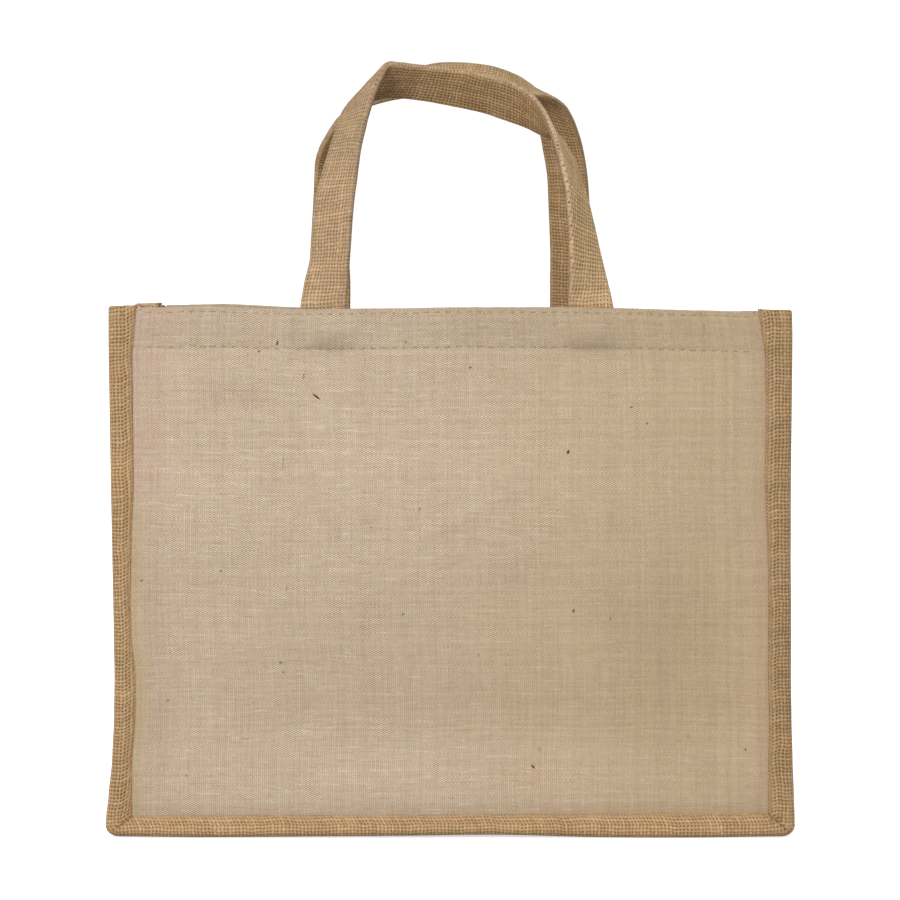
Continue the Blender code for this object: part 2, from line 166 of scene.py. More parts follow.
# A soft ridge in a panel, from one end to the other
Crease = namedtuple("Crease", "side x1 z1 x2 z2 width out")
CREASES = rows_of(
    Crease,
    (FRONT, -29, 174, 41, 206, 3.2, 0.8),
    (FRONT, 118, 150, 150, 92, 6.0, -0.7),
    (FRONT, -176, 160, -168, 84, 5.0, -0.6),
    (BACK, 60, 150, -20, 196, 4.0, 0.7),
    (BACK, -130, 80, -158, 140, 6.0, -0.6),
)

# Each handle is a band: its inner edge faces the other foot, its outer edge the bag's side.
Section = namedtuple("Section", "inner_x inner_y inner_z outer_x outer_y outer_z")
FRONT_HANDLE = rows_of(
    Section,
    (-61, -70, 288, -89, -70, 288),  # left foot
    (-61, -70, 311, -88, -70, 311),  # left leg
    (-60, -71, 325, -86, -64, 325),
    (-59, -73, 342, -82, -58, 342),
    (-57, -72, 370, -80, -55, 369),
    (-55, -69, 387, -76, -50, 388),
    (-53, -66, 404, -71, -45, 405),
    (-50, -62, 418, -67, -40, 418),
    (-47, -59, 430, -64, -36, 426),  # fold
    (-43, -55, 442, -62, -32, 429),
    (-37, -50, 454, -59, -30, 432),
    (-30, -47, 455, -49, -28, 434),
    (-21, -45, 454, -37, -27, 436.6),
    (-9, -44, 453, -18, -26, 435),  # top
    (5, -44, 451.4, -1, -25, 432),
    (23, -45, 447.6, 18, -25, 428),
    (36.4, -48, 443.6, 33, -27, 423),  # shoulder
    (47, -52, 436.2, 45, -28, 418.8),
    (54, -58, 426, 54.6, -32, 414.2),
    (59.2, -65, 412.6, 65, -38, 410),  # right leg
    (63.4, -72, 397, 72.2, -46, 397),
    (66.6, -77, 381, 77.6, -52, 381),
    (68, -79, 365, 82, -55, 365),
    (69, -78, 346, 86.4, -58, 346),
    (69, -75, 328, 91, -61, 328),
    (68, -70, 311, 95, -70, 311),
    (69, -70, 288, 96, -70, 288),  # right foot
)
BACK_HANDLE = rows_of(
    Section,
    (-64, 68, 283, -92, 68, 283),  # left foot
    (-64, 68, 308, -92, 68, 308),  # left leg
    (-64, 70, 324, -91, 65, 324),
    (-65, 72, 342, -89, 60, 342),
    (-66, 73, 365, -87, 56, 365),
    (-66.5, 72, 384, -85.6, 53, 383),
    (-65.4, 70, 400, -84.7, 50, 399),
    (-62, 68, 415, -82.5, 47, 407),  # fold
    (-57, 64, 429, -78.8, 45, 414.2),
    (-47, 58, 445, -69.4, 42, 427),
    (-34, 54, 455, -56, 39, 434),
    (-21, 51, 459, -37, 36, 439),
    (-7, 50, 462, -17, 33, 441),  # top
    (9, 50, 462, 4, 31, 441),
    (26, 50, 459.7, 23, 31, 440),
    (39.6, 52, 454.8, 38, 30, 440),  # shoulder
    (47.4, 53, 449.6, 52, 30, 440.6),  # fold
    (51.6, 55, 445.4, 62, 31, 439.2),
    (53.6, 57, 440, 70.6, 35, 433.8),
    (54.4, 58, 431.4, 76.2, 39, 425.4),
    (58, 60, 411, 81.6, 43, 411),  # right leg
    (61, 60, 393, 85, 45, 393),
    (62, 62, 372, 87, 49, 372),
    (63, 65, 346, 89, 56, 346),
    (63, 67, 327, 90, 61, 327),
    (63, 68, 308, 91, 68, 308),
    (63, 68, 283, 91, 68, 283),  # right foot
)

# Bark flecks and stray fibres in the front panel's cloth, each with its lean in degrees
Fleck = namedtuple("Fleck", "x z length width lean dark")
FLECKS = rows_of(
    Fleck,
    (-79.4, 260.6, 5.5, 1.3, -38, 0.98), (-102.7, 291.6, 3.2, 1.3, 80, 0.91),
    (-113.2, 286.9, 1.6, 1.6, 0, 0.72), (-86.9, 271.8, 5.1, 0.9, 78, 0.45),
    (-99.2, 222.5, 10.3, 0.8, 84, 0.39), (69.9, 228.4, 2.5, 1.8, 70, 0.98),
    (107.3, 254.5, 1.6, 1.3, 0, 0.65), (116.6, 245.0, 1.5, 1.3, 0, 0.65),
    (-135.0, 158.9, 1.5, 1.4, 0, 0.65), (-182.0, 152.8, 1.8, 1.3, 30, 0.65),
    (-96.2, 148.8, 4.1, 0.8, 80, 0.45), (-101.4, 104.5, 1.7, 1.4, 0, 0.65),
    (-100.3, 98.6, 1.5, 1.4, 0, 0.59), (-169.2, 81.4, 1.4, 1.3, 0, 0.59),
    (-156.4, 37.0, 1.5, 1.2, 40, 0.55), (72.3, 135.3, 2.3, 1.3, 80, 0.85),
    (94.0, 130.4, 2.1, 0.9, 80, 0.65), (173.7, 52.2, 1.5, 1.2, -30, 0.8),
    (48.4, 41.7, 2.8, 1.3, -45, 0.95), (12.2, 277.5, 1.9, 1.4, 15, 0.7),
    (-27.7, 133.4, 1.8, 1.3, 40, 0.6), (-26.2, 292.2, 1.8, 1.2, 60, 0.55),
    (-18.0, 195.3, 2.6, 0.9, 80, 0.6), (-46.6, 184.8, 1.4, 1.0, 0, 0.5),
    (16.0, 109.0, 2.4, 0.8, 85, 0.5),
)

# Rust-brown yarn ends in the front panel's cloth
Rust = namedtuple("Rust", "x z length width")
RUSTS = rows_of(
    Rust,
    (152.0, 308.5, 4.0, 1.2), (153.0, 301.0, 5.0, 1.6), (-113.0, 291.5, 1.8, 1.6),
    (52.0, 52.0, 3.0, 2.0), (140.0, 60.0, 2.2, 1.6),
)

# Soft areas of the front panel that are lighter or darker than the rest: some are the cloth's own
# tone, others are painted light and shade, with painted shadow below the handle ends and painted
# highlight above them, painted shade in the hollows at the sides and painted light low on the panel
Tone = namedtuple("Tone", "x z reach_x reach_z lift")
TONES_AND_PAINTED_LIGHT = rows_of(
    Tone,
    (30, 214, 120, 52, 0.03), (-126, 262, 22, 9, -0.08), (135, 120, 42, 70, -0.05),
    (-174, 125, 12, 110, -0.05), (0, 110, 190, 60, 0.03), (0, 40, 200, 18, 0.07),
    (-20, 277, 160, 8, -0.03), (-74, 300, 17, 9, -0.05), (-71, 290, 14, 4.5, -0.13),
    (-93, 299, 2.5, 11, -0.06), (-68, 302, 9, 6, 0.07), (84, 290, 15, 4.5, -0.12),
    (60, 300, 60, 12, -0.04),
)


# ---- what a user may change


def number_property(name, description, default, **kind):
    return FloatProperty(name=name, description=description, default=default, **kind)


def length_property(name, description, default):
    return number_property(name, description, default, unit="LENGTH")


class BagSizes(PropertyGroup):
    """How thick the cloth is, and how finely it is divided."""

    panel_cloth: length_property("Panel cloth", "Thickness of the juco", 0.0013)
    gusset_cloth: length_property("Gusset cloth", "Thickness of the hessian", 0.0015)
    handle_band: length_property("Handle band", "Thickness of the folded handle", 0.0041)
    mesh_step: length_property("Mesh step", "Distance between the cloth's points", 0.0027)
    stitch_length: length_property("Stitch", "Length of one stitch with its gap", 0.0062)
    thread: length_property("Thread", "Thickness of the sewing thread", 0.0005)
    seed: IntProperty(name="Seed", description="Changes how uneven stitches fall", default=7)


class BagWeave(PropertyGroup):
    """How far apart the yarns lie."""

    hessian_yarn: length_property("Hessian yarn", "From one hessian yarn to the next", 0.00213)
    juco_warp: length_property("Juco warp", "From one upright yarn to the next", 0.00121)
    juco_weft: length_property("Juco weft", "From one level yarn to the next", 0.00061)


def colour_property(name, description, default):
    look = {"default": default, "subtype": "COLOR", "size": 3, "min": 0.0, "max": 1.0}
    return FloatVectorProperty(name=name, description=description, **look)


class BagColours(PropertyGroup):
    """Colours of the yarns, as linear RGB."""

    juco_jute: colour_property("Juco jute", "The panels' upright yarns", (0.40, 0.272, 0.16))
    juco_cotton: colour_property("Juco cotton", "The panels' level yarns", (0.63, 0.53, 0.412))
    hessian: colour_property("Hessian", "The gusset's yarns", (0.48, 0.314, 0.162))
    hessian_gap: colour_property("Gusset gaps", "Between its yarns", (0.185, 0.098, 0.026))
    handle: colour_property("Handle", "The handles' yarns", (0.485, 0.325, 0.184))
    # the handles' inner side is a darker copy of their yarn colour: painted shade
    handle_inner_shade: colour_property("Handle inside", "Toward the hand", (0.46, 0.288, 0.14))
    handle_gap: colour_property("Handle gaps", "Between the handles' yarns", (0.22, 0.122, 0.045))
    rust: colour_property("Rust", "Rust-brown yarn ends in the panels", (0.36, 0.17, 0.06))
    thread: colour_property("Thread", "The sewing thread", (0.385, 0.275, 0.16))
    fleck: colour_property("Fleck", "Bark flecks in the panels", (0.075, 0.048, 0.026))


class StudioLook(PropertyGroup):
    """The floor, the lights and the camera."""

    floor: colour_property("Floor", "Colour of the floor", (0.93, 0.93, 0.93))
    key_power: number_property("Key light", "Upper left light", 29.0, unit="POWER")
    fill_power: number_property("Fill light", "Light from the right", 3.5, unit="POWER")
    surround: number_property("Surround", "Brightness of the white surround", 0.80)
    camera_tilt: number_property(
        "Camera tilt", "How far the camera looks down", math.radians(4.4), subtype="ANGLE"
    )
    focal_length: number_property("Focal length", "Camera lens in mm", 100.86)


# ---- reading the tables


def blend(start, end, share):
    return start + (end - start) * share


def ease(share):
    """0 to 1, leaving and arriving level."""
    share = min(max(share, 0.0), 1.0)
    return share * share * (3.0 - 2.0 * share)


def hump(distance, width):
    """1 at no distance, falling off smoothly."""
    return math.exp(-((distance / width) ** 2))


def spline(before, start, end, after, share):
    """A point on the Catmull-Rom curve from start to end."""
    square = share * share
    cube = square * share
    return 0.5 * (
        2.0 * start
        + (end - before) * share
        + (2.0 * before - 5.0 * start + 4.0 * end - after) * square
        + (3.0 * start - before - 3.0 * end + after) * cube
    )


def read(table, column, place):
    """A column's value at a place given by the table's first column, eased between its rows."""
    if place <= table[0][0]:
        return getattr(table[0], column)
    for low, high in zip(table, table[1:]):
        if place <= high[0]:
            share = (place - low[0]) / (high[0] - low[0])
            eased = ease(share) * 0.5 + share * 0.5
            return blend(getattr(low, column), getattr(high, column), eased)
    return getattr(table[-1], column)


def level(column, height):
    """Where the bag's outline and depth are at a height."""
    return read(LEVELS, column, height)


def rim_height(x, side):
    return read(RIMS, "front" if side == FRONT else "back", x)


def from_seams(x, height):
    """How far a place is from the left seam and from the right seam."""
    return x - level("left_seam", height), level("right_seam", height) - x


def shift(height, side):
    """How far the back of the bag leans sideways from its front."""
    return level("back_shift", height) if side == BACK else 0.0


def lifted(height, x, side):
    """A row's height once the rim's own rise and fall is spread over the cloth below it."""
    fade = ease(1.0 - (RIM_HEIGHT - height) / RIM_FADE_HEIGHT)
    return height + (rim_height(x, side) - RIM_HEIGHT) * fade


def seam_tilt(x, height):
    """The bottom seams climb a little to the right; the cloth above them takes it up."""
    above = height - BOTTOM_SEAM_HEIGHT
    return SEAM_TILT * x / TILT_HALF_WIDTH * ease(1.0 - above / TILT_FADE_HEIGHT)


def steps(start, end, step):
    """Evenly spaced places from start to end, both of them included."""
    count = max(1, round(abs(end - start) / step))
    return [blend(start, end, i / count) for i in range(count + 1)]


def uneven(x, z, scale, seed):
    """Smooth chance unevenness from -1 to 1."""
    return noise.noise(Vector((x / scale, z / scale, seed)))


# ---- the panels' faces


def swell(x, z, side):
    """How far a panel stands out from the plane of its seams."""
    total = 0.0
    for fold in FRONT_SWELLS if side == FRONT else BACK_SWELLS:
        across = (x - fold.x) / fold.reach_x
        up = (z - fold.z) / fold.reach_z
        total += fold.out * math.exp(-across * across - up * up)
    above_seam = z - BOTTOM_SEAM_HEIGHT
    return total * ease(min(from_seams(x, z)) / SWELL_FADE) * ease(above_seam / SWELL_FADE)


def crease_relief(x, z, side):
    total = 0.0
    for crease in CREASES:
        if crease.side != side:
            continue
        run = Vector((crease.x2 - crease.x1, crease.z2 - crease.z1))
        place = Vector((x - crease.x1, z - crease.z1))
        along = place.dot(run) / run.length_squared
        off = (place.x * run.y - place.y * run.x) / run.length
        height = crease.out * hump(off, crease.width)
        total += height * ease(along / CREASE_FADE) * ease((1.0 - along) / CREASE_FADE)
    return total


def hem_relief(x, below_rim, side):
    """The doubled hem's ledge, its two sewn lines and the puckers along them."""
    relief = HEM_LEDGE * ease((HEM_DEPTH + 1.0 - below_rim) / 2.4)
    for row, depth in ROW_DIPS:
        relief -= depth * hump(below_rim - row, ROW_DIP_WIDTH)
        pucker = math.sin(x * 0.92 + 2.2 * uneven(x, row, 30.0, side))
        relief += ROW_PUCKER * pucker * hump(below_rim - row - 2.0, 4.5)
    return relief


def cloth_relief(x, z, side):
    """All that the cloth does on a small scale: waves, creases, sewn lines, puckers at seams."""
    to_left, to_right = from_seams(x, z)
    to_bottom = z - BOTTOM_SEAM_HEIGHT - seam_tilt(x, z)
    inner = ease(min(to_left, to_right, to_bottom) / 22.0)
    wide_wave = 1.1 * uneven(x, z * 1.3, 74.0, 3.1 * side)
    waves = wide_wave + 0.45 * uneven(x, z, 31.0, 7.7 * side)
    relief = waves * inner + crease_relief(x, z, side)
    relief += hem_relief(x, rim_height(x, side) - z, side)
    for distance, along, seed in ((to_left, z, 1.3), (to_right, z, 4.9), (to_bottom, x, 8.2)):
        pucker = uneven(along, seed, 9.0, side) + 0.6 * uneven(along, seed, 4.5, side)
        relief += 0.4 * pucker * hump(distance - 7.0, 5.0)
    held = 1.0
    for distance in (to_left, to_right, to_bottom):
        held *= ease((distance - SEAM_GAP / 2) / DIP_REACH)
    return relief - SEAM_DIP * (1.0 - held)


def panel_depth(x, z, side):
    """Y of a panel's outer surface before its small relief."""
    return side * (level("seam_depth", z) + swell(x, z, side))


def panel_surface(x, z, side):
    """A point on a panel's outer surface."""
    relief = cloth_relief(x, z, side)
    return Vector((x, panel_depth(x, z, side) + side * relief, z))


# ---- meshes


class Sheet:
    """A sheet of cloth: points in rows and columns, each with its place on the flat cloth."""

    def __init__(self):
        self.bm = bmesh.new()
        self.flat = self.bm.loops.layers.uv.new("weave")
        self.edge = self.bm.loops.layers.uv.new("edge")

    def face(self, corners, places, edges=None):
        face = self.bm.faces.new(corners)
        for loop, place, edge in zip(face.loops, places, edges or places):
            loop[self.flat].uv = place
            loop[self.edge].uv = edge
        return face

    def grid(self, points, places, edges, wanted):
        """Adds a grid of faces; wanted(row, column) leaves some out."""
        vertices = {}

        def vertex(row, column):
            if (row, column) not in vertices:
                vertices[row, column] = self.bm.verts.new(points[row][column])
            return vertices[row, column]

        for row in range(len(points) - 1):
            for column in range(len(points[0]) - 1):
                if not wanted(row, column):
                    continue
                below = ((row, column), (row, column + 1))
                corners = (*below, (row + 1, column + 1), (row + 1, column))
                self.face(
                    [vertex(*corner) for corner in corners],
                    [places(*corner, row) for corner in corners],
                    [edges(*corner) for corner in corners],
                )

    def finish(self, name, material, thickness, flip):
        """Writes the sheet and gives it its thickness, away from the side that shows."""
        bmesh.ops.remove_doubles(self.bm, verts=self.bm.verts, dist=MERGE_DISTANCE)
        if flip:
            bmesh.ops.reverse_faces(self.bm, faces=self.bm.faces)
        obj = write_mesh(self.bm, name, material)
        outer = len(obj.data.polygons)
        solidify = obj.modifiers.new("cloth thickness", "SOLIDIFY")
        solidify.thickness = thickness
        solidify.offset = -1.0
        solidify.use_even_offset = True
        solidify.use_quality_normals = True
        apply_modifiers(obj)
        mesh = obj.data
        bake_map(mesh, outer)
        inner = mesh.attributes.new("inner", "FLOAT", "FACE")
        on_inner = [float(outer <= i < 2 * outer) for i in range(len(mesh.polygons))]
        inner.data.foreach_set("value", on_inner)
        mesh.shade_smooth()
        mesh.set_sharp_from_angle(angle=math.radians(55))
        return obj


def link(name, mesh, material):
    mesh.materials.append(material)
    obj = bpy.data.objects.new(name, mesh)
    bpy.context.scene.collection.objects.link(obj)
    return obj


def write_mesh(bm, name, material):
    """Writes a form made in millimetres as an object in metres."""
    bmesh.ops.scale(bm, vec=(MM, MM, MM), verts=bm.verts)
    mesh = bpy.data.meshes.new(name)
    bm.to_mesh(mesh)
    bm.free()
    return link(name, mesh, material)


def apply_modifiers(obj):
    """Turns the object's modifiers into plain mesh."""
    depsgraph = bpy.context.evaluated_depsgraph_get()
    mesh = bpy.data.meshes.new_from_object(obj.evaluated_get(depsgraph))
    old = obj.data
    obj.modifiers.clear()
    obj.data = mesh
    bpy.data.meshes.remove(old)
    mesh.name = obj.name


# The bake's square: outer side on the left, inner side on the right, cut edges along the bottom
BAKE_MARGIN = 0.005
BAKE_WIDTH = 0.49
BAKE_HEIGHT = 0.985
INNER_START = 0.505
EDGE_STRIP = 0.012
EDGE_CORNERS = ((0.0, 0.0), (1.0, 0.0), (1.0, 0.8), (0.0, 0.8))


def bake_map(mesh, outer):
    """Lays the outer side, the inner side and the cut edges next to each other on one square."""
    places = [tuple(item.uv) for item in mesh.uv_layers["weave"].data]
    low_u = min(u for u, _ in places)
    low_v = min(v for _, v in places)
    wide = max(u for u, _ in places) - low_u
    tall = max(v for _, v in places) - low_v
    layout = mesh.uv_layers.new(name="OFBake").data
    edges = max(len(mesh.polygons) - 2 * outer, 1)
    for index, polygon in enumerate(mesh.polygons):
        start = INNER_START if index >= outer else BAKE_MARGIN
        for corner, loop in enumerate(polygon.loop_indices):
            if index < 2 * outer:
                u = (places[loop][0] - low_u) / wide * BAKE_WIDTH + start
                v = (places[loop][1] - low_v) / tall * (BAKE_HEIGHT - EDGE_STRIP)
                v += EDGE_STRIP + BAKE_MARGIN
            else:
                along, up = EDGE_CORNERS[corner % 4]
                u = (index - 2 * outer + along) / edges
                v = up * EDGE_STRIP
            layout[loop].uv = (u, v)


# ---- materials


def operator(operation, reflected=False):
    """A Python operator that adds a Math node."""

    def apply(value, other):
        pair = (other, value) if reflected else (value, other)
        return value.recipe.math(operation, *pair)

    return apply


class Value:
    """A shader socket that can stand in a sum."""

    def __init__(self, recipe, socket):
        self.recipe = recipe
        self.socket = socket

    __add__ = operator("ADD")
    __radd__ = operator("ADD", reflected=True)
    __sub__ = operator("SUBTRACT")
    __rsub__ = operator("SUBTRACT", reflected=True)
    __mul__ = operator("MULTIPLY")
    __rmul__ = operator("MULTIPLY", reflected=True)
    __truediv__ = operator("DIVIDE")
    __rtruediv__ = operator("DIVIDE", reflected=True)
    __gt__ = operator("GREATER_THAN")
    __lt__ = operator("LESS_THAN")

    def __abs__(self):
        return self.recipe.math("ABSOLUTE", self)

    def __neg__(self):
        return self * -1.0


class Recipe:
    """Builds one material's nodes; its seed moves all of its chance patterns."""

    def __init__(self, name, roughness, seed=0.0):
        self.seed = seed
        self.material = bpy.data.materials.new(name)
        self.material.use_nodes = True
        self.tree = self.material.node_tree
        self.shader = self.tree.nodes["Principled BSDF"]
        self.shader.inputs["Roughness"].default_value = roughness
        self.shader.inputs["Specular IOR Level"].default_value = 0.2

    def add(self, kind, settings=None, inputs=None, output=0):
        """Adds a node: its settings first, then the values or links of its sockets."""
        node = self.tree.nodes.new(kind)
        for key, value in (settings or {}).items():
            setattr(node, key, value)
        for key, value in (inputs or {}).items():
            self.feed(node.inputs[key], value)
        return Value(self, node.outputs[output])

    def feed(self, socket, value):
        if isinstance(value, Value):
            self.tree.links.new(value.socket, socket)
        elif hasattr(value, "__len__") and len(value) == 3 and socket.type == "RGBA":
            socket.default_value = (*value, 1.0)
        else:
            socket.default_value = value

    def math(self, operation, *values):
        return self.add("ShaderNodeMath", {"operation": operation}, dict(enumerate(values)))

    def smooth(self, value, low, high):
        """0 below low and 1 above high; the other way round if low is the greater."""
        start, end = (0.0, 1.0) if low < high else (1.0, 0.0)
        inputs = {0: value, 1: min(low, high), 2: max(low, high), 3: start, 4: end}
        return self.add("ShaderNodeMapRange", {"interpolation_type": "SMOOTHSTEP"}, inputs)

    def mix(self, start, end, share):
        inputs = {0: share, 6: start, 7: end}
        return self.add("ShaderNodeMix", {"data_type": "RGBA"}, inputs, output=2)

    def shade(self, colour, amount):
        """The colour made lighter or darker by a factor."""
        inputs = {0: colour, "Scale": amount}
        return self.add("ShaderNodeVectorMath", {"operation": "SCALE"}, inputs)

    def cloth_map(self, name):
        """A map's place, and the two numbers that make it."""
        place = self.add("ShaderNodeUVMap", {"uv_map": name})
        first = self.add("ShaderNodeSeparateXYZ", inputs={0: place}, output="X")
        second = self.add("ShaderNodeSeparateXYZ", inputs={0: place}, output="Y")
        return place, first, second

    def inner_side(self):
        """1 on the side of a sheet that faces into the bag."""
        return self.add("ShaderNodeAttribute", {"attribute_name": "inner"}, output="Fac")

    def point(self, x, y, z):
        return self.add("ShaderNodeCombineXYZ", inputs={0: x, 1: y, 2: z})

    def cloud(self, x, y, part, detail=2.0):
        """Soft noise around 0.5 over a place already scaled to it; each part has its own."""
        place = self.point(x, y, self.seed + part)
        inputs = {"Vector": place, "Scale": 1.0, "Detail": detail}
        return self.add("ShaderNodeTexNoise", {"noise_dimensions": "3D"}, inputs)

    def chance(self, number, part):
        """A value from 0 to 1 that is steady over each whole number."""
        inputs = {"W": number + (self.seed + part)}
        return self.add("ShaderNodeTexWhiteNoise", {"noise_dimensions": "1D"}, inputs)

    def finish(self, colour, height, depth):
        """Gives the shader its colour, and a relief of this depth in metres."""
        self.feed(self.shader.inputs["Base Color"], colour)
        relief = {"Height": height, "Strength": 1.0, "Distance": depth}
        self.feed(self.shader.inputs["Normal"], self.add("ShaderNodeBump", inputs=relief))
        return self.material


Weave = namedtuple("Weave", "height gap warp_shows warp weft across along")
YARN_RISE = 0.5
DEEPEST = -0.6

# How deep the weaves stand out, in metres
HESSIAN_RELIEF = 0.00042
HANDLE_RELIEF = 0.00038
JUCO_RELIEF = 0.00008

# Colours that single yarns and areas lean toward, as linear RGB, among them painted light on the
# gusset's fold over the rim and painted shade beside the panel's right seam
PAINTED_LIGHT_FOLD = (0.66, 0.48, 0.325)
PALE_WEFT = (0.60, 0.44, 0.30)
GOLDEN_BAND = (0.59, 0.405, 0.205)
DULL_FOLD = (0.51, 0.36, 0.24)
DARK_JUTE = (0.30, 0.19, 0.105)
PALE_COTTON = (0.69, 0.63, 0.54)
PALE_SLUB = (0.68, 0.62, 0.53)
BROWN_WEFT = (0.41, 0.245, 0.12)
ROSY_PATCH = (0.46, 0.31, 0.235)
OLIVE_PATCH = (0.40, 0.335, 0.22)
ROSY_TINT_AND_SEAM_SHADE = (0.45, 0.29, 0.23)
OLIVE_EDGE = (0.43, 0.325, 0.185)
GOLDEN_SIDE = (0.45, 0.33, 0.18)


def plain_weave(recipe, across, along, warp_cover, weft_cover):
    """Yarns that pass over and under each other; across and along count yarns."""
    warp = recipe.math("FLOOR", across)
    weft = recipe.math("FLOOR", along)
    warp_off = (across - warp) * 2.0 - 1.0
    weft_off = (along - weft) * 2.0 - 1.0
    turn = 1.0 - 2.0 * recipe.math("FLOORED_MODULO", warp + weft, 2.0)
    warp_lift = turn * recipe.math("SINE", (along - weft) * math.pi)
    weft_lift = turn * recipe.math("SINE", (across - warp) * math.pi) * -1.0

    def roundness(off, cover):
        share = off / cover
        return recipe.math("SQRT", recipe.math("MAXIMUM", 1.0 - share * share, 0.0))

    warp_round = roundness(warp_off, warp_cover)
    weft_round = roundness(weft_off, weft_cover)
    warp_top = warp_round + warp_lift * YARN_RISE - (warp_round < 0.01) * 2.0
    weft_top = weft_round + weft_lift * YARN_RISE - (weft_round < 0.01) * 2.0
    highest = recipe.math("MAXIMUM", warp_top, weft_top)
    top = recipe.math("MAXIMUM", highest, DEEPEST)
    closed = recipe.math("MAXIMUM", warp_round, weft_round)
    gap = recipe.smooth(closed, 0.55, 0.1)
    return Weave(top, gap, warp_top > weft_top, warp, weft, across, along)


def yarn_tone(recipe, weave, spread):
    """Every yarn's own lightness, and the streaks of its fibres, around 1."""
    warp_tone = recipe.chance(weave.warp, 0.0)
    weft_tone = recipe.chance(weave.weft, 31.0)
    warp_streak = recipe.cloud(weave.across * 5.0, weave.along * 0.9, 0.0)
    weft_streak = recipe.cloud(weave.across * 0.9, weave.along * 5.0, 5.0)
    warp = (warp_tone - 0.5) * spread + (warp_streak - 0.5) * spread * 2.0
    weft = (weft_tone - 0.5) * spread + (weft_streak - 0.5) * spread * 2.0
    return 1.0 + weft + (warp - weft) * weave.warp_shows


def hessian_weave(recipe, x, y, pitch, cover, weft_less=0.0):
    """Coarse open jute, with yarns that wander and vary in thickness."""

    def wander(across, along, reach, part):
        return (recipe.cloud(x * across, y * along, part) - 0.5) * reach

    drift_x = wander(0.03, 0.055, 1.7, 2.0) + wander(0.11, 0.21, 0.3, 18.0)
    drift_y = wander(0.06, 0.03, 1.6, 4.0) + wander(0.21, 0.11, 0.3, 20.0)
    across = x / pitch + drift_x
    along = y / pitch + drift_y
    warp = recipe.math("FLOOR", across)
    weft = recipe.math("FLOOR", along)
    thick_warp = recipe.cloud(warp * 7.3, along * 0.3, 6.0) - 0.5
    thick_weft = recipe.cloud(across * 0.3, weft * 7.3, 8.0) - 0.5
    patchy = wander(0.07, 0.07, 0.4, 14.0)
    warp_cover = thick_warp + patchy + cover
    weft_cover = thick_weft + patchy + cover + (0.03 - weft_less)
    return plain_weave(recipe, across, along, warp_cover, weft_cover)


def hole_depth(recipe, weave, part):
    """Every gap's own darkness, from 0 to 1."""
    return recipe.chance(weave.warp * 17.0 + weave.weft, part)


def hessian_colour(recipe, weave, x, y, yarn):
    """Golden yarns, some of them redder or greyer, with painted shade where the yarns dip."""
    tone = yarn_tone(recipe, weave, 0.28)
    warm = recipe.cloud(weave.warp * 1.9, y * 0.05, 12.0)
    grey = recipe.cloud(x * 0.05, weave.weft * 1.9, 16.0)
    red_yarn = (yarn[0] * 1.04, yarn[1] * 0.93, yarn[2] * 0.84)
    grey_yarn = (yarn[0] * 1.06, yarn[1] * 1.06, yarn[2] * 1.24)
    yarns = recipe.mix(yarn, red_yarn, recipe.smooth(warm, 0.5, 0.7) * 0.8)
    yarns = recipe.mix(yarns, grey_yarn, recipe.smooth(grey, 0.5, 0.7) * 0.8)
    patches = recipe.cloud(x * 0.02, y * 0.02, 10.0, detail=3.0)
    # painted shade: the yarns are darker where they dip under each other
    painted_yarn_shade = 0.70 + 0.26 * weave.height
    return recipe.shade(yarns, tone * painted_yarn_shade * (0.88 + 0.24 * patches))


# How far along the gusset's map its fold over the rim is
RIM_FOLD = 510.0


def gusset_material(colours, yarns):
    """Open hessian whose gaps close up where it rolls into the seams, with painted shade in its
    creases at the mitres.

    On its map x runs across the strip, from the front below 0 to the back, and y runs from the
    middle of the base up the right side, or below 0 up the left side.
    """
    recipe = Recipe("hessian_gusset", 0.92, 3.0)
    smooth = recipe.smooth
    _, x, y = recipe.cloth_map("weave")
    _, from_seam, from_mitre = recipe.cloth_map("edge")
    closing = smooth(from_seam, 1.6, 0.0)
    folding = smooth(from_seam, 9.2, 11.5)
    cover = 0.66 + closing * 0.26 + folding * 0.14
    pulled = recipe.math("MAXIMUM", 4.5 - from_seam, 0.0) * 0.45
    weave = hessian_weave(recipe, x, y + pulled, yarns.hessian_yarn / MM, cover)
    surface = hessian_colour(recipe, weave, x, y, tuple(colours.hessian))

    # the base and the right side are denser, and so is the strip inside the bag; further down the
    # same masks also paint light and shade
    base = smooth(abs(y), 225.0, 200.0)
    right = smooth(y, 150.0, 215.0)
    inner = recipe.inner_side()
    # where the strip folds over the rim, toward the back, it is closed, and painted light makes it
    # pale
    rim_fold = smooth(abs(y), RIM_FOLD - 1.0, RIM_FOLD + 1.0)
    rim_fold = rim_fold * smooth(abs(y), RIM_FOLD + 10.0, RIM_FOLD + 5.0)
    rim_fold = rim_fold * smooth(x, -20.0, 20.0)
    open_share = (1.0 - base * 0.36 - right * 0.18) * (1.0 - inner * 0.6) * (1.0 - rim_fold)
    hole = 0.5 + 0.5 * hole_depth(recipe, weave, 60.0)
    gaps = weave.gap * hole * open_share
    surface = recipe.mix(surface, tuple(colours.hessian_gap), gaps)

    # painted shade: darker in the creases at the mitres, on the right side and at the top of the
    # left side; painted light: lighter on the base and on the strip's inner side; the roll into the
    # seams is a little darker
    crease = smooth(from_mitre, 2.6, 0.0) * smooth(from_seam, 13.0, 3.0)
    painted_shade_left_top = smooth(y, -450.0, -520.0)
    shade = (1.0 - crease * 0.34) * (1.0 + base * 0.06) * (1.0 - painted_shade_left_top * 0.05)
    shade = shade * (1.0 - right * 0.08) * (1.0 - closing * 0.10) * (1.0 + inner * 0.10)
    # painted light: the fold over the rim is made pale
    surface = recipe.mix(surface, PAINTED_LIGHT_FOLD, rim_fold * 0.85)
    surface = recipe.shade(surface, shade)
    return recipe.finish(surface, weave.height, HESSIAN_RELIEF)


# A handle's map: x over its outer side and then its inner side, y along it from the left foot.
# The left fold turns it at about 155, and past 250 it comes down as the right leg.
BOTH_SIDES = 2 * HANDLE_WIDTH
LEFT_FOLD = 155.0
RIGHT_LEG = 250.0
TWIST_END = 404.0
TWIST_RUN = 100.0


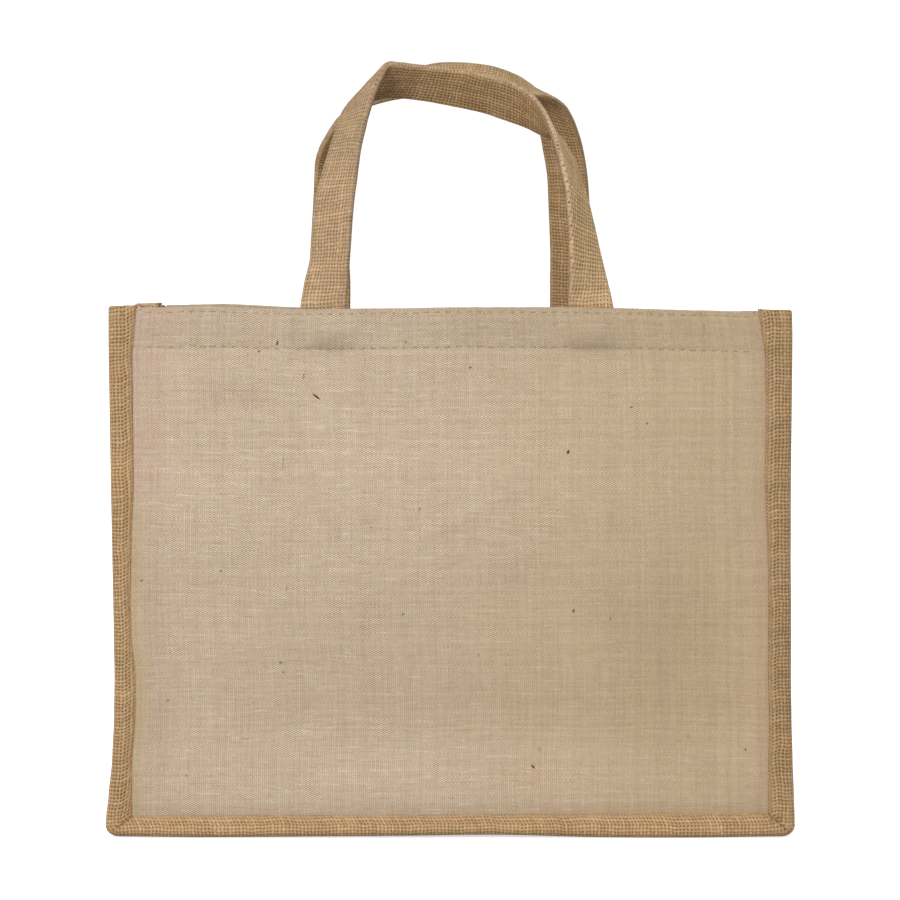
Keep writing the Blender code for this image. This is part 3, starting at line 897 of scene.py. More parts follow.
def handle_material(name, colours, yarns, outer_painted_shade):
    """Denser hessian, folded; its inner side takes a deeper, darker colour than the outer, which is
    painted shade.
    """
    recipe = Recipe(name, 0.92, 40.0)
    mix, smooth = recipe.mix, recipe.smooth
    _, x, y = recipe.cloth_map("weave")
    from_fold = abs(recipe.math("FLOORED_MODULO", x + HALF_BAND, HANDLE_WIDTH) - HALF_BAND)
    folded = smooth(from_fold, 2.8, 0.9)
    inside = smooth(x, 27.6, 28.6) * smooth(x, BOTH_SIDES, 55.0)
    outside = 1.0 - inside

    # the right leg is twisted, which turns its outer cloth's yarns out of line with the band
    past = recipe.math("MAXIMUM", (TWIST_END - y) / TWIST_RUN, 0.0)
    twist = recipe.math("MINIMUM", past, 1.0)
    slanted = smooth(y, RIGHT_LEG, 285.0) * outside
    twisted = twist * slanted
    coarse = 1.0 - twisted * 0.14
    across = (x - twist * twisted * 27.0) * coarse
    slope = (x - HALF_BAND) * twisted * 0.6
    along = TWIST_END + (y - TWIST_END - slope) * coarse + x * 0.08
    cover = 0.78 + folded * 0.16 - twisted * 0.07
    weave = hessian_weave(recipe, across, along, yarns.hessian_yarn / MM, cover, 0.11)

    # the outer colour is scaled by painted shade, darker on the back handle
    outer = tuple(part * tint for part, tint in zip(colours.handle, outer_painted_shade))
    # painted shade: the inner side takes the darker colour
    yarn = mix(outer, tuple(colours.handle_inner_shade), inside)
    tone = yarn_tone(recipe, weave, 0.26)
    warm = recipe.cloud(weave.warp * 1.9, y * 0.05, 12.0)
    pale = recipe.cloud(x * 0.06, weave.weft * 1.9, 16.0)
    yarn = mix(yarn, recipe.shade(yarn, 1.14), smooth(warm, 0.5, 0.75))
    yarn = mix(yarn, PALE_WEFT, smooth(pale, 0.5, 0.75) * 0.45)
    golden = smooth(y, RIGHT_LEG, 310.0) * outside * (1.0 - folded * 0.7)
    yarn = mix(yarn, GOLDEN_BAND, golden * 0.6)
    yarn = mix(yarn, DULL_FOLD, folded * outside * 0.4)

    patches = recipe.cloud(x * 0.03, y * 0.03, 10.0, detail=3.0)
    # painted shade: darker where the yarns dip, along the folded edges and round the left fold;
    # painted light on the twisted right leg; the left leg is a little darker
    turned = smooth(abs(y - LEFT_FOLD), 60.0, 20.0)
    lightness = tone * (0.70 + 0.25 * weave.height) * (0.84 + 0.32 * patches)
    lightness = lightness * (1.0 - folded * 0.06) * (1.0 - turned * 0.10)
    lightness = lightness * (1.0 + twisted * 0.12)
    lightness = lightness * (1.0 - smooth(y, 200.0, 130.0) * 0.045)
    yarn = recipe.shade(yarn, lightness)
    hole = 0.55 + 0.45 * hole_depth(recipe, weave, 50.0) + twisted * 0.3
    surface = mix(yarn, tuple(colours.handle_gap), weave.gap * hole)
    return recipe.finish(surface, weave.height, HANDLE_RELIEF)


def squared_distance(x, y, spot, reach_x, reach_z):
    """How far from a spot, counted in its own reach and squared."""
    across = (x - spot.x) / reach_x
    up = (y - spot.z) / reach_z
    return across * across + up * up


def juco_yarns(recipe, colours, weave, x, y):
    """Brown jute upright and pale cotton level, with pale slubs and browner stretches."""
    mix, smooth, cloud = recipe.mix, recipe.smooth, recipe.cloud
    # where the level yarns sink between the upright ones only fine upright ribs show
    lower = smooth(y, 160.0, 60.0)
    sunk = cloud(x * 0.055, y * 0.04, 7.0, detail=3.0) + lower * 0.12
    ribbed = smooth(sunk, 0.44, 0.66)
    dots = (1.0 - weave.warp_shows) * (1.0 - ribbed * 0.5)
    rib_place = (weave.across - weave.warp - 0.5) * (2.0 * math.pi)
    rib = recipe.math("COSINE", rib_place) * 0.5 + 0.5
    jute = cloud(weave.warp * 2.7, y * 0.04, 11.0)
    jute_colour = mix(colours.juco_jute, DARK_JUTE, smooth(jute, 0.5, 0.8) * 0.7)
    cotton = cloud(x * 0.11, weave.weft * 1.3, 9.0)
    cotton_colour = mix(colours.juco_cotton, PALE_COTTON, smooth(cotton, 0.52, 0.72))
    cloth = mix(jute_colour, cotton_colour, dots * 0.95 + 0.02 + rib * ribbed * 0.46)
    slub = cloud(x * 0.05 + y * 0.06, weave.weft * 2.1, 17.0)
    slub_share = smooth(slub, 0.58, 0.75) * (1.0 - weave.warp_shows * 0.7)
    cloth = mix(cloth, PALE_SLUB, slub_share)
    brown = cloud(x * 0.07, weave.weft * 1.7, 23.0)
    return mix(cloth, BROWN_WEFT, smooth(brown, 0.54, 0.72) * 0.4)


def juco_areas(recipe, cloth, x, y):
    """Rosy and olive patches, the tints beside the side seams, with painted shade in the rosy strip
    beside the right seam, and the golden right half.
    """
    mix, smooth = recipe.mix, recipe.smooth
    _, to_left, to_right = recipe.cloth_map("edge")
    tint = recipe.cloud(x * 0.045, y * 0.04, 13.0, detail=4.0)
    cloth = mix(cloth, ROSY_PATCH, smooth(tint, 0.5, 0.72) * 0.30)
    cloth = mix(cloth, OLIVE_PATCH, smooth(tint, 0.48, 0.27) * 0.15)
    upper = smooth(y, 160.0, 230.0)
    rosy = smooth(to_left, 30.0, 4.0) * (0.06 + upper * 0.24)
    # beside the right seam the rosy colour is painted shade where the cloth turns into the seam;
    # beside the left seam it is a rosy tint of the cloth
    cloth = mix(cloth, ROSY_TINT_AND_SEAM_SHADE, rosy + smooth(to_right, 11.0, 1.0) * 0.5)
    olive = smooth(to_left, 14.0, 1.0) * (1.0 - upper)
    cloth = mix(cloth, OLIVE_EDGE, olive * 0.6)
    low_band = smooth(y, 190.0, 120.0) * smooth(y, 40.0, 80.0)
    golden = smooth(x, -60.0, 160.0) * 0.48 + low_band * 0.12
    return mix(cloth, GOLDEN_SIDE, golden)


def juco_lightness(recipe, weave, x, y, tones_and_painted_light):
    """Streaks along both yarns, a fine grain, painted shade between the yarns and over the hem, and
    the panel's soft areas, which are partly tone and partly painted light and shade.
    """
    cloud = recipe.cloud
    hem = recipe.smooth(y, 286.8, 288.4)
    patches = cloud(x * 0.02, y * 0.02, 15.0, detail=5.0)
    across_streaks = cloud(x * 0.06, weave.weft * 0.55, 19.0) - 0.5
    upright_streaks = cloud(weave.warp * 0.8, y * 0.035, 21.0) - 0.5
    grain = recipe.chance(weave.warp * 113.0 + weave.weft, 40.0) - 0.5
    streaks = across_streaks * 0.11 + upright_streaks * 0.18 + grain * 0.12
    tone = yarn_tone(recipe, weave, 0.16)
    # painted shade: the yarns are darker where they dip
    lightness = tone * (0.91 + 0.08 * weave.height) * (0.94 + 0.12 * patches + streaks)
    # painted shade: the doubled hem band above the lower row is darker
    lightness = lightness - hem * 0.085
    # the soft areas add tone, painted shadow, painted highlight and painted shade
    for spot in tones_and_painted_light:
        away = squared_distance(x, y, spot, spot.reach_x, spot.reach_z)
        lightness = lightness + spot.lift * recipe.math("EXPONENT", -away)
    return lightness


def fleck_cover(recipe, place, flecks):
    """How much of the cloth the flecks hide."""
    dark = 0.0
    for fleck in flecks:
        inputs = {
            "Vector": place,
            "Location": (fleck.x, fleck.z, 0.0),
            "Rotation": (0.0, 0.0, math.radians(fleck.lean)),
            "Scale": (fleck.length / 2, fleck.width / 2, 1.0),
        }
        local = recipe.add("ShaderNodeMapping", {"vector_type": "TEXTURE"}, inputs)
        length = {"operation": "LENGTH"}
        away = recipe.add("ShaderNodeVectorMath", length, {0: local}, output="Value")
        dark = dark + recipe.smooth(away, 1.3, 0.6) * fleck.dark
    return recipe.math("MINIMUM", dark, 1.0)


def juco_material(name, colours, yarns, flecks, tones_and_painted_light, seed):
    """Fine jute and cotton: brown upright yarns, and pale level ones that show as dots."""
    recipe = Recipe(name, 0.85, seed)
    place, x, y = recipe.cloth_map("weave")
    drift_x = (recipe.cloud(x * 0.02, y * 0.012, 1.0) - 0.5) * 3.0
    drift_y = (recipe.cloud(x * 0.014, y * 0.02, 3.0) - 0.5) * 9.0
    across = x / (yarns.juco_warp / MM) + drift_x
    along = y / (yarns.juco_weft / MM) + drift_y
    weave = plain_weave(recipe, across, along, 1.02, 1.02)
    cloth = juco_yarns(recipe, colours, weave, x, y)
    cloth = juco_areas(recipe, cloth, x, y)
    cloth = recipe.shade(cloth, juco_lightness(recipe, weave, x, y, tones_and_painted_light))
    if flecks:
        cloth = recipe.mix(cloth, colours.fleck, fleck_cover(recipe, place, flecks))
        for rust in RUSTS:
            away = squared_distance(x, y, rust, rust.width / 2, rust.length / 2)
            cloth = recipe.mix(cloth, colours.rust, recipe.math("EXPONENT", -away) * 0.6)
    return recipe.finish(cloth, weave.height, JUCO_RELIEF)


def thread_material(name, colour):
    """Twisted sewing thread."""
    recipe = Recipe(name, 0.8)
    place = recipe.add("ShaderNodeTexCoord", output="Object")
    inputs = {"Vector": place, "Scale": 900.0, "Detail": 2.0}
    fine = recipe.add("ShaderNodeTexNoise", {"noise_dimensions": "3D"}, inputs)
    return recipe.finish(recipe.shade(colour, 0.75 + 0.5 * fine), fine, 0.0001)


# ---- panels


def roll_stage(radius, run):
    """How far out and how far back a turned edge has got after a run along it."""
    quarter = radius * math.pi / 2
    if run <= quarter:
        angle = run / radius
        return radius * math.sin(angle), radius * (1.0 - math.cos(angle))
    return radius, radius + run - quarter


# A panel's columns and rows: the first column in from its roll, the rim's own roll, the turned hem
FIRST_COLUMN = 1.4
RIM_ROLL = 1.5
HEM_TURNS = (25, 55, 90, 125, 155)
SEAM_INSET = SEAM_GAP / 2 + PANEL_ROLL


def panel_sheet(side, sizes):
    """One panel: its face, the hem turned in over the rim, and edges rolled into three seams."""
    step = sizes.mesh_step / MM
    quarter = PANEL_ROLL * math.pi / 2
    tucked = steps(quarter + SEAM_ALLOWANCE, quarter, 2.7)[:-1]
    runs = [*tucked, *steps(quarter, 0.0, 0.5)[:-1]]
    wide = LEVELS[0].right_seam - LEVELS[0].left_seam
    inner_places = steps(FIRST_ROW, wide - FIRST_ROW, step)
    face_places = [0.0, FIRST_COLUMN, *inner_places, wide - FIRST_COLUMN, wide]
    shares = [place / wide for place in face_places]
    stitched = RIM_HEIGHT - HEM_DEPTH - 2.0
    heights = [
        *steps(BOTTOM_SEAM_HEIGHT + SEAM_INSET, stitched, step)[:-1],
        *steps(stitched, RIM_HEIGHT - RIM_ROLL, 1.25),
    ]
    lining = steps(RIM_ROLL, HEM_DEPTH, 2.4)
    fold_radius = sizes.panel_cloth / MM + HEM_GAP / 2
    edge = len(runs)
    columns = len(shares) + 2 * edge
    top = edge + len(heights) - 1
    middle = (LEVELS[0].left_seam + LEVELS[0].right_seam) / 2
    half = wide / 2 - SEAM_INSET

    def face_point(share, height):
        left = level("left_seam", height) + SEAM_INSET
        right = level("right_seam", height) - SEAM_INSET
        x = blend(left, right, share) + shift(height, side)
        return panel_surface(x, lifted(height, x, side) + seam_tilt(x, height), side)

    def sheet_point(row, column):
        """A point, its place on the flat cloth and how far it is from both side seams."""
        bottom_run = runs[row] if row < edge else 0.0
        height = heights[min(max(row - edge, 0), len(heights) - 1)]
        from_left = column - edge
        from_right = columns - 1 - edge - column
        side_index = min(column, columns - 1 - column)
        side_run = runs[side_index] if side_index < edge else 0.0
        way = -1 if from_left < 0 else 1
        share = shares[min(max(from_left, 0), len(shares) - 1)]
        point = face_point(share, height)
        out, back = roll_stage(PANEL_ROLL, max(side_run, bottom_run))
        if side_run:
            point.x += way * out
            if row <= edge:
                point.z -= out
        elif bottom_run:
            point.z -= out
            if share in (0.0, 1.0):
                point.x += (1 if share else -1) * out
        point.y -= side * back
        if row == top and (from_left < 2 or from_right < 2):
            point.z += fold_radius
        over = row - top - 1
        along = lifted(height, point.x, side)
        if 0 <= over < len(HEM_TURNS):
            angle = math.radians(HEM_TURNS[over])
            unevenness = 0.2 * uneven(point.x, 0.0, 6.0, side)
            point.z += fold_radius * math.sin(angle) + unevenness
            point.y -= side * fold_radius * (1.0 - math.cos(angle))
            along = RIM_HEIGHT + fold_radius * angle
        elif over >= len(HEM_TURNS):
            down = lining[over - len(HEM_TURNS)]
            inside = face_point(share, RIM_HEIGHT - RIM_ROLL - down)
            thick = 2 * fold_radius + 0.3 * uneven(point.x, down, 9.0, side)
            point = inside - Vector((0, side * thick, 0))
            along = RIM_HEIGHT + fold_radius * math.pi + down
        across = blend(middle - half, middle + half, share) + way * side_run
        return point, (across, along - bottom_run), from_seams(point.x, height)

    row_count = top + 1 + len(HEM_TURNS) + len(lining)
    made = [[sheet_point(row, column) for column in range(columns)] for row in range(row_count)]

    def wanted(row, column):
        beside = column < edge or column >= columns - 1 - edge
        if row < edge and beside:
            return False
        return not (row >= top and (column < edge + 2 or column >= columns - 3 - edge))

    def place(row, column, _):
        return made[row][column][1]

    def seam_distances(row, column):
        return made[row][column][2]

    sheet = Sheet()
    points = [[point for point, _, _ in line] for line in made]
    sheet.grid(points, place, seam_distances, wanted)
    return sheet


# ---- gusset

Station = namedtuple("Station", "height seam_x seam_z seam_way fold_x fold_z fold_way bow turn")


def seams_and_folds(way):
    """The table's columns for the left side or the right side."""
    return ("left_seam", "left_fold") if way < 0 else ("right_seam", "right_fold")


def side_station(height, way):
    """The gusset's line across one side of the bag."""
    seam, fold = seams_and_folds(way)
    first = BOTTOM_SEAM_HEIGHT + FIRST_ROW
    share = (height - first) / CORNER_REACH
    fold_z = blend(CORNER_ROUND, first + CORNER_REACH, share) if share < 1.0 else height
    seam_z = height + PANEL_ROLL / 2 * ease(1.0 - (height - first) / 4.0)
    outward = Vector((way, 0, 0))
    seam_x = level(seam, height)
    fold_x = level(fold, fold_z)
    return Station(height, seam_x, seam_z, outward, fold_x, fold_z, outward, 0.0, 0.0)


def corner_station(way, turn):
    """A line near the mitre at a lower corner, turned from the side (0) to the base (90)."""
    seam, fold = seams_and_folds(way)
    angle = math.radians(turn)
    fold_way = Vector((way * math.cos(angle), 0, -math.sin(angle)))
    toward_side = max(0.0, 1.0 - turn / 45) * FIRST_ROW
    toward_base = max(0.0, turn / 45 - 1.0) * FIRST_ROW
    seam_way = Vector((way * min(1.0, 2.0 - turn / 45), 0, -min(1.0, turn / 45)))
    return Station(
        0.0,
        level(seam, BOTTOM_SEAM_HEIGHT) - way * toward_base,
        BOTTOM_SEAM_HEIGHT + toward_side,
        seam_way,
        level(fold, 0) - way * CORNER_ROUND + fold_way.x * CORNER_ROUND,
        CORNER_ROUND + fold_way.z * CORNER_ROUND,
        fold_way,
        0.0,
        turn,
    )


def base_station(share):
    """The gusset's line across the base."""
    way = -1 if share < 0.5 else 1
    seam, fold = seams_and_folds(way)
    left = level("left_seam", BOTTOM_SEAM_HEIGHT) + SEAM_INSET
    right = level("right_seam", BOTTOM_SEAM_HEIGHT) - SEAM_INSET
    x = blend(left, right, share)
    run = min(x - left, right - x)
    end = left if way < 0 else right
    fold_end = level(fold, 0) - way * CORNER_ROUND
    joined = end - way * (FIRST_ROW + CORNER_REACH)
    reached = (run - FIRST_ROW) / CORNER_REACH
    fold_x = blend(fold_end, joined, reached) if reached < 1.0 else x
    bow = BASE_BOW * math.sin(math.pi * share)
    down = Vector((0, 0, -1))
    return Station(0.0, x, BOTTOM_SEAM_HEIGHT, down, fold_x, 0.0, down, bow, 90.0)


# How many points lie across each part of the strip, from its edge inward
ALLOWANCE_STEPS = 3
ROLL_STEPS = 6
BAND_STEPS = 7
FOLD_STEPS = 5
SIDE_STEPS = 34
ROLL_END = ALLOWANCE_STEPS + ROLL_STEPS
FOLD_END = ROLL_END + BAND_STEPS + FOLD_STEPS

HALF_SIDE = 73.0
CORNER_TURNS = [i * 7.5 for i in range(1, 12)]
FAR_FROM_MITRE = 10.0
MITRE_ROWS = 40.0


def band_relief(x, z, share, mitre, side):
    """The uneven lie of the border; share runs from the seam to the fold."""
    between = math.sin(math.pi * share)
    relief = 0.55 * between + 0.7 * between * uneven(x, z, 16.0, side * 5.0)
    relief += 0.3 * uneven(x, z, 6.0, side * 9.0)
    relief -= 0.9 * hump(mitre, 1.3)
    return relief


def base_arch(x):
    """How far the base's front edge lifts off the surface between the corners."""
    corners = 0.7 * ease((abs(x) - 140.0) / 60.0)
    return 0.9 * hump(x + 50.0, 75.0) + 1.5 * hump(x - 28.0, 48.0) + corners


def gusset_edge(station, side):
    """One sewn edge of the strip, from its seam allowance's end to where the side begins."""
    panel_end = max(station.seam_z, BOTTOM_SEAM_HEIGHT + SEAM_GAP / 2 + PANEL_ROLL)
    seam_depth = level("seam_depth", panel_end)
    fold_depth = level("fold_depth", station.fold_z) + station.bow
    tilt = seam_tilt(station.seam_x, station.seam_z)
    arch = base_arch(station.fold_x) * ease(station.turn / 90.0) if side == FRONT else 0.0
    lean = shift(station.height, side)
    seam = Vector((station.seam_x + lean, 0, station.seam_z + tilt))
    fold = Vector((station.fold_x + lean, 0, station.fold_z + arch))
    depth = Vector((0, side, 0))
    centre = seam + station.seam_way * (SEAM_GAP / 2)
    centre = centre + station.seam_way * (GUSSET_ROLL - ROLL_OVER)
    centre = centre + depth * (seam_depth + ROLL_PROUD)
    flat_end = fold - station.fold_way * FOLD_ROLL + depth * fold_depth
    start = -math.acos(1.0 - ROLL_OVER / GUSSET_ROLL)
    tucked = centre + station.seam_way * (ROLL_OVER - GUSSET_ROLL)
    tucked = tucked + depth * GUSSET_ROLL * math.sin(start)
    points = []
    for run in steps(SEAM_ALLOWANCE, 0.0, SEAM_ALLOWANCE / ALLOWANCE_STEPS):
        points.append(tucked - depth * run)
    for i in range(1, ROLL_STEPS + 1):
        angle = blend(start, math.radians(90), i / ROLL_STEPS)
        out = depth * GUSSET_ROLL * math.sin(angle)
        points.append(centre - station.seam_way * GUSSET_ROLL * math.cos(angle) + out)
    rolled = points[-1]
    corner_x = level(seams_and_folds(-1 if station.seam_x < 0 else 1)[0], BOTTOM_SEAM_HEIGHT)
    corner_z = BOTTOM_SEAM_HEIGHT + seam_tilt(corner_x, BOTTOM_SEAM_HEIGHT)
    for i in range(1, BAND_STEPS + 1):
        share = i / BAND_STEPS
        point = rolled.lerp(flat_end, share)
        mitre = abs(abs(point.x - corner_x) - (corner_z - point.z)) * 0.7
        if point.z > BOTTOM_SEAM_HEIGHT + 1.0 or abs(point.x) < abs(corner_x) - 1.0:
            mitre = FAR_FROM_MITRE
        relief = band_relief(point.x, point.z, share, mitre, side)
        points.append(point + depth * (relief * (1.0 if i < BAND_STEPS else 0.3)))
    beyond = fold + depth * (fold_depth - FOLD_ROLL)
    for i in range(1, FOLD_STEPS + 1):
        angle = math.radians(90) * i / FOLD_STEPS
        outward = station.fold_way * (FOLD_ROLL * (math.sin(angle) - 1.0))
        points.append(beyond + outward + depth * FOLD_ROLL * math.cos(angle))
    return points


def gusset_line(station):
    """All points across the strip at a station, from the front panel's seam to the back panel's."""
    front = gusset_edge(station, FRONT)
    back = gusset_edge(station, BACK)
    pleat = SIDE_PLEAT * ease(station.height / PLEAT_FADE_HEIGHT)
    near_rim = ease(1.0 - (RIM_HEIGHT - station.height) / RIM_FADE_HEIGHT)
    middle = []
    for i in range(1, SIDE_STEPS):
        share = i / SIDE_STEPS
        crease = 0.5 - 0.5 * math.cos(2 * math.pi * share)
        point = front[-1].lerp(back[-1], share)
        wave = 1.2 * uneven(point.y, point.z + point.x, 42.0, 2.5)
        wave += 0.3 * uneven(point.y, point.z, 12.0, 6.5)
        inward = pleat * crease + wave * ease(4.0 * share) * ease(4.0 * (1.0 - share))
        if station.turn == 90.0:
            inward = max(inward, 0.0)
            point.z = front[-1].z * ease(1.0 - share * 5.0)
        point -= station.fold_way * inward
        point.z -= SIDE_DIP * near_rim * crease
        middle.append(point)
    points = [*front, *middle, *reversed(back)]
    for point in points:
        share = ease((point.y + LEVELS[-1].fold_depth) / (2 * LEVELS[-1].fold_depth))
        rim = blend(rim_height(point.x, FRONT), rim_height(point.x, BACK), share)
        point.z += (rim - RIM_HEIGHT + GUSSET_STAND) * near_rim
    return points


def outward_normals(line, next_line):
    """Which way out of the bag the strip faces at each point of a line."""
    normals = []
    last = len(line) - 1
    for column, point in enumerate(line):
        across = line[min(column + 1, last)] - line[max(column - 1, 0)]
        along = next_line[column] - point
        normals.append(across.cross(along).normalized())
    centre = len(line) // 2
    if normals[centre].x * line[centre].x < 0:
        normals = [-normal for normal in normals]
    return normals


def turned_hem(end_lines, thick):
    """Rows for one hem, over the rim and down inside; end_lines start at the rim."""
    rim_line = end_lines[0]
    centre = len(rim_line) // 2
    normals = outward_normals(rim_line, end_lines[1])
    rows = []
    for degrees in (35, 90, 145):
        angle = math.radians(degrees)
        lift = Vector((0, 0, thick * math.sin(angle)))
        inward = 1.0 - math.cos(angle)
        rows.append([p + lift - n * thick * inward for p, n in zip(rim_line, normals)])
    for line, below in zip(end_lines, end_lines[1:]):
        down = rim_line[centre].z - line[centre].z
        if down > HEM_DEPTH:
            break
        if down < 0.5:
            continue
        normals = outward_normals(line, below)
        rows.append([p - n * 2 * thick for p, n in zip(line, normals)])
    return rows


def gusset_stations(step):
    """All lines across the strip, down the left side, along the base and up the right side."""
    first = BOTTOM_SEAM_HEIGHT + FIRST_ROW
    hem = RIM_HEIGHT - HEM_DEPTH - 2.0
    heights = [*steps(first, hem, step)[:-1], *steps(hem, RIM_HEIGHT - 1.6, 1.6)]
    wide = LEVELS[0].right_seam - LEVELS[0].left_seam
    run = wide - 2 * SEAM_INSET
    return [
        *[side_station(height, -1) for height in reversed(heights)],
        *[corner_station(-1, turn) for turn in CORNER_TURNS],
        *[base_station(place / run) for place in steps(FIRST_ROW, run - FIRST_ROW, step)],
        *[corner_station(1, turn) for turn in reversed(CORNER_TURNS)],
        *[side_station(height, 1) for height in heights],
    ]


def across_places(line, use_x):
    """Distance across the strip, leaving out what runs along it; the folds lie on one yarn."""
    centre = len(line) // 2
    flat = [0.0] * len(line)
    for way, columns in ((1, range(centre + 1, len(line))), (-1, range(centre - 1, -1, -1))):
        for column in columns:
            move = line[column] - line[column - way]
            span = math.hypot(move.y, move.x if use_x else move.z)
            flat[column] = flat[column - way] + way * span
    fitted = []
    for column, place in enumerate(flat):
        end = flat[FOLD_END] if column < centre else flat[len(line) - 1 - FOLD_END]
        fold_place = HALF_SIDE if end > 0 else -HALF_SIDE
        beyond = abs(place) > abs(end)
        fitted.append(fold_place + place - end if beyond else place * fold_place / end)
    return fitted


def along_places(lines, middle_row):
    """Distance along the strip from the middle of the base, by row and column."""
    flat = [[0.0] * len(lines[0]) for _ in lines]
    ways = ((1, range(middle_row + 1, len(lines))), (-1, range(middle_row - 1, -1, -1)))
    for column in range(len(lines[0])):
        for way, rows in ways:
            for row in rows:
                move = lines[row][column] - lines[row - way][column]
                flat[row][column] = flat[row - way][column] + way * math.hypot(move.x, move.z)
    return flat


def gusset_sheet(sizes):
    """The strip that makes both sides and the base, its two ends turned in as hems."""
    stations = gusset_stations(sizes.mesh_step / MM)
    lines = [gusset_line(station) for station in stations]
    thick = sizes.gusset_cloth / MM + HEM_GAP / 2
    columns = len(lines[0])
    centre = columns // 2
    for line in (lines[0], lines[-1]):
        for column in (*range(ROLL_END), *range(columns - ROLL_END, columns)):
            line[column].z += thick
    left_hem = turned_hem(lines[:40], thick)
    right_hem = turned_hem(lines[:-41:-1], thick)
    full = [*reversed(left_hem), *lines, *right_hem]
    left_rows = len(left_hem)
    last_line = left_rows + len(lines) - 1

    def rows_turned(turn):
        return [left_rows + i for i, station in enumerate(stations) if station.turn == turn]

    base_rows = rows_turned(90.0)
    left_corner, right_corner = rows_turned(45.0)
    from_base = along_places(full, base_rows[len(base_rows) // 2])
    side_across = [across_places(line, True) for line in full]
    base_across = [across_places(line, False) for line in full]

    def place(row, column, face_row):
        """Sides measure from the rim and the base from its middle, so the border is mitred."""
        on_left = face_row < left_corner
        if on_left or face_row >= right_corner:
            rim = left_rows if on_left else last_line
            slack = from_base[rim][centre] - from_base[rim][column]
            return side_across[row][column], from_base[row][column] + slack
        return base_across[row][column], from_base[row][column]

    def wanted(row, column):
        if left_rows <= row < last_line:
            return True
        return ROLL_END <= column < columns - 1 - ROLL_END

    def edge_distances(row, column):
        """How far in from the seam's roll, and how far along from the nearest mitre."""
        side_row = not left_corner <= row <= right_corner
        line = side_across[row] if side_row else base_across[row]
        rolled = line[ROLL_END] if column < centre else line[columns - 1 - ROLL_END]
        from_mitre = min(abs(row - left_corner), abs(row - right_corner))
        return abs(rolled) - abs(line[column]), min(from_mitre, MITRE_ROWS)

    sheet = Sheet()
    sheet.grid(full, place, edge_distances, wanted)
    return sheet


# ---- handles


def band_edges(sections, position):
    """The inner and outer edge of a band at a position counted in sections."""
    index = min(int(position), len(sections) - 2)
    share = position - index
    around = [sections[min(max(index + step, 0), len(sections) - 1)] for step in (-1, 0, 1, 2)]
    inner = [Vector((s.inner_x, s.inner_y, s.inner_z)) for s in around]
    outer = [Vector((s.outer_x, s.outer_y, s.outer_z)) for s in around]
    return spline(*inner, share), spline(*outer, share)


def behind_hem(point, side, sizes):
    """Keeps a foot of the band against the inside of the hem, up to the rim."""
    rim = rim_height(point.x, side)
    if point.z > rim + 1.0:
        return point
    hem_inside = panel_depth(point.x, min(point.z, RIM_HEIGHT), side)
    hem = HEM_LAYERS * (sizes.panel_cloth / MM + LAYER_SLACK)
    behind = hem + HANDLE_CLEARANCE + sizes.handle_band / MM / 2
    return Vector((point.x, hem_inside - side * behind, point.z))


HANDLE_SUBSTEPS = 7
HANDLE_COLUMNS = 22
EDGE_STITCH = 0.80


def band_rows(sections, side, sizes):
    """The band's middle surface: rows of points from its inner edge to its outer edge."""
    rows = []
    for i in range((len(sections) - 1) * HANDLE_SUBSTEPS + 1):
        inner, outer = band_edges(sections, i / HANDLE_SUBSTEPS)
        row = []
        for column in range(HANDLE_COLUMNS + 1):
            share = 0.5 - 0.5 * math.cos(math.pi * column / HANDLE_COLUMNS)
            share = blend(share, column / HANDLE_COLUMNS, 0.25)
            row.append(behind_hem(inner.lerp(outer, share), side, sizes))
        rows.append(row)
    return rows


def band_normals(rows):
    normals = []
    for i, row in enumerate(rows):
        above = rows[min(i + 1, len(rows) - 1)]
        below = rows[max(i - 1, 0)]
        line = []
        for j in range(len(row)):
            across = row[min(j + 1, len(row) - 1)] - row[max(j - 1, 0)]
            line.append((above[j] - below[j]).cross(across).normalized())
        normals.append(line)
    return normals


def half_thickness(share, run, top, sizes, seed):
    """Half the band's thickness at a share (-1 to 1) across it."""
    full = sizes.handle_band / MM / 2
    body = (1.0 - abs(share) ** 22) ** 0.5
    sewn = 0.06 * hump(abs(share) - EDGE_STITCH, 0.07)
    seam = 0.0 if top else 0.20 * hump(share + 0.04, 0.05)
    lumps = 0.12 * uneven(share * HALF_BAND, run, 5.0, seed)
    return full * max(body - sewn - seam + lumps * body, 0.0)


def band_ring(row, normals, run, side, sizes):
    """Points round the band at one row, and their places on its cloth."""
    width = (row[-1] - row[0]).length
    ring = []
    flat = []
    for j in range(HANDLE_COLUMNS + 1):
        share = -1.0 + 2.0 * (row[j] - row[0]).length / width
        thick = half_thickness(min(share, 1.0), run, True, sizes, side * 3.0)
        ring.append(row[j] + normals[j] * thick)
        flat.append(((share + 1.0) * HALF_BAND, run))
    for j in range(HANDLE_COLUMNS - 1, 0, -1):
        share = -1.0 + 2.0 * (row[j] - row[0]).length / width
        thick = half_thickness(share, run, False, sizes, side * 4.0)
        ring.append(row[j] - normals[j] * thick)
        flat.append((HANDLE_WIDTH + (1.0 - share) * HALF_BAND, run))
    return ring, flat


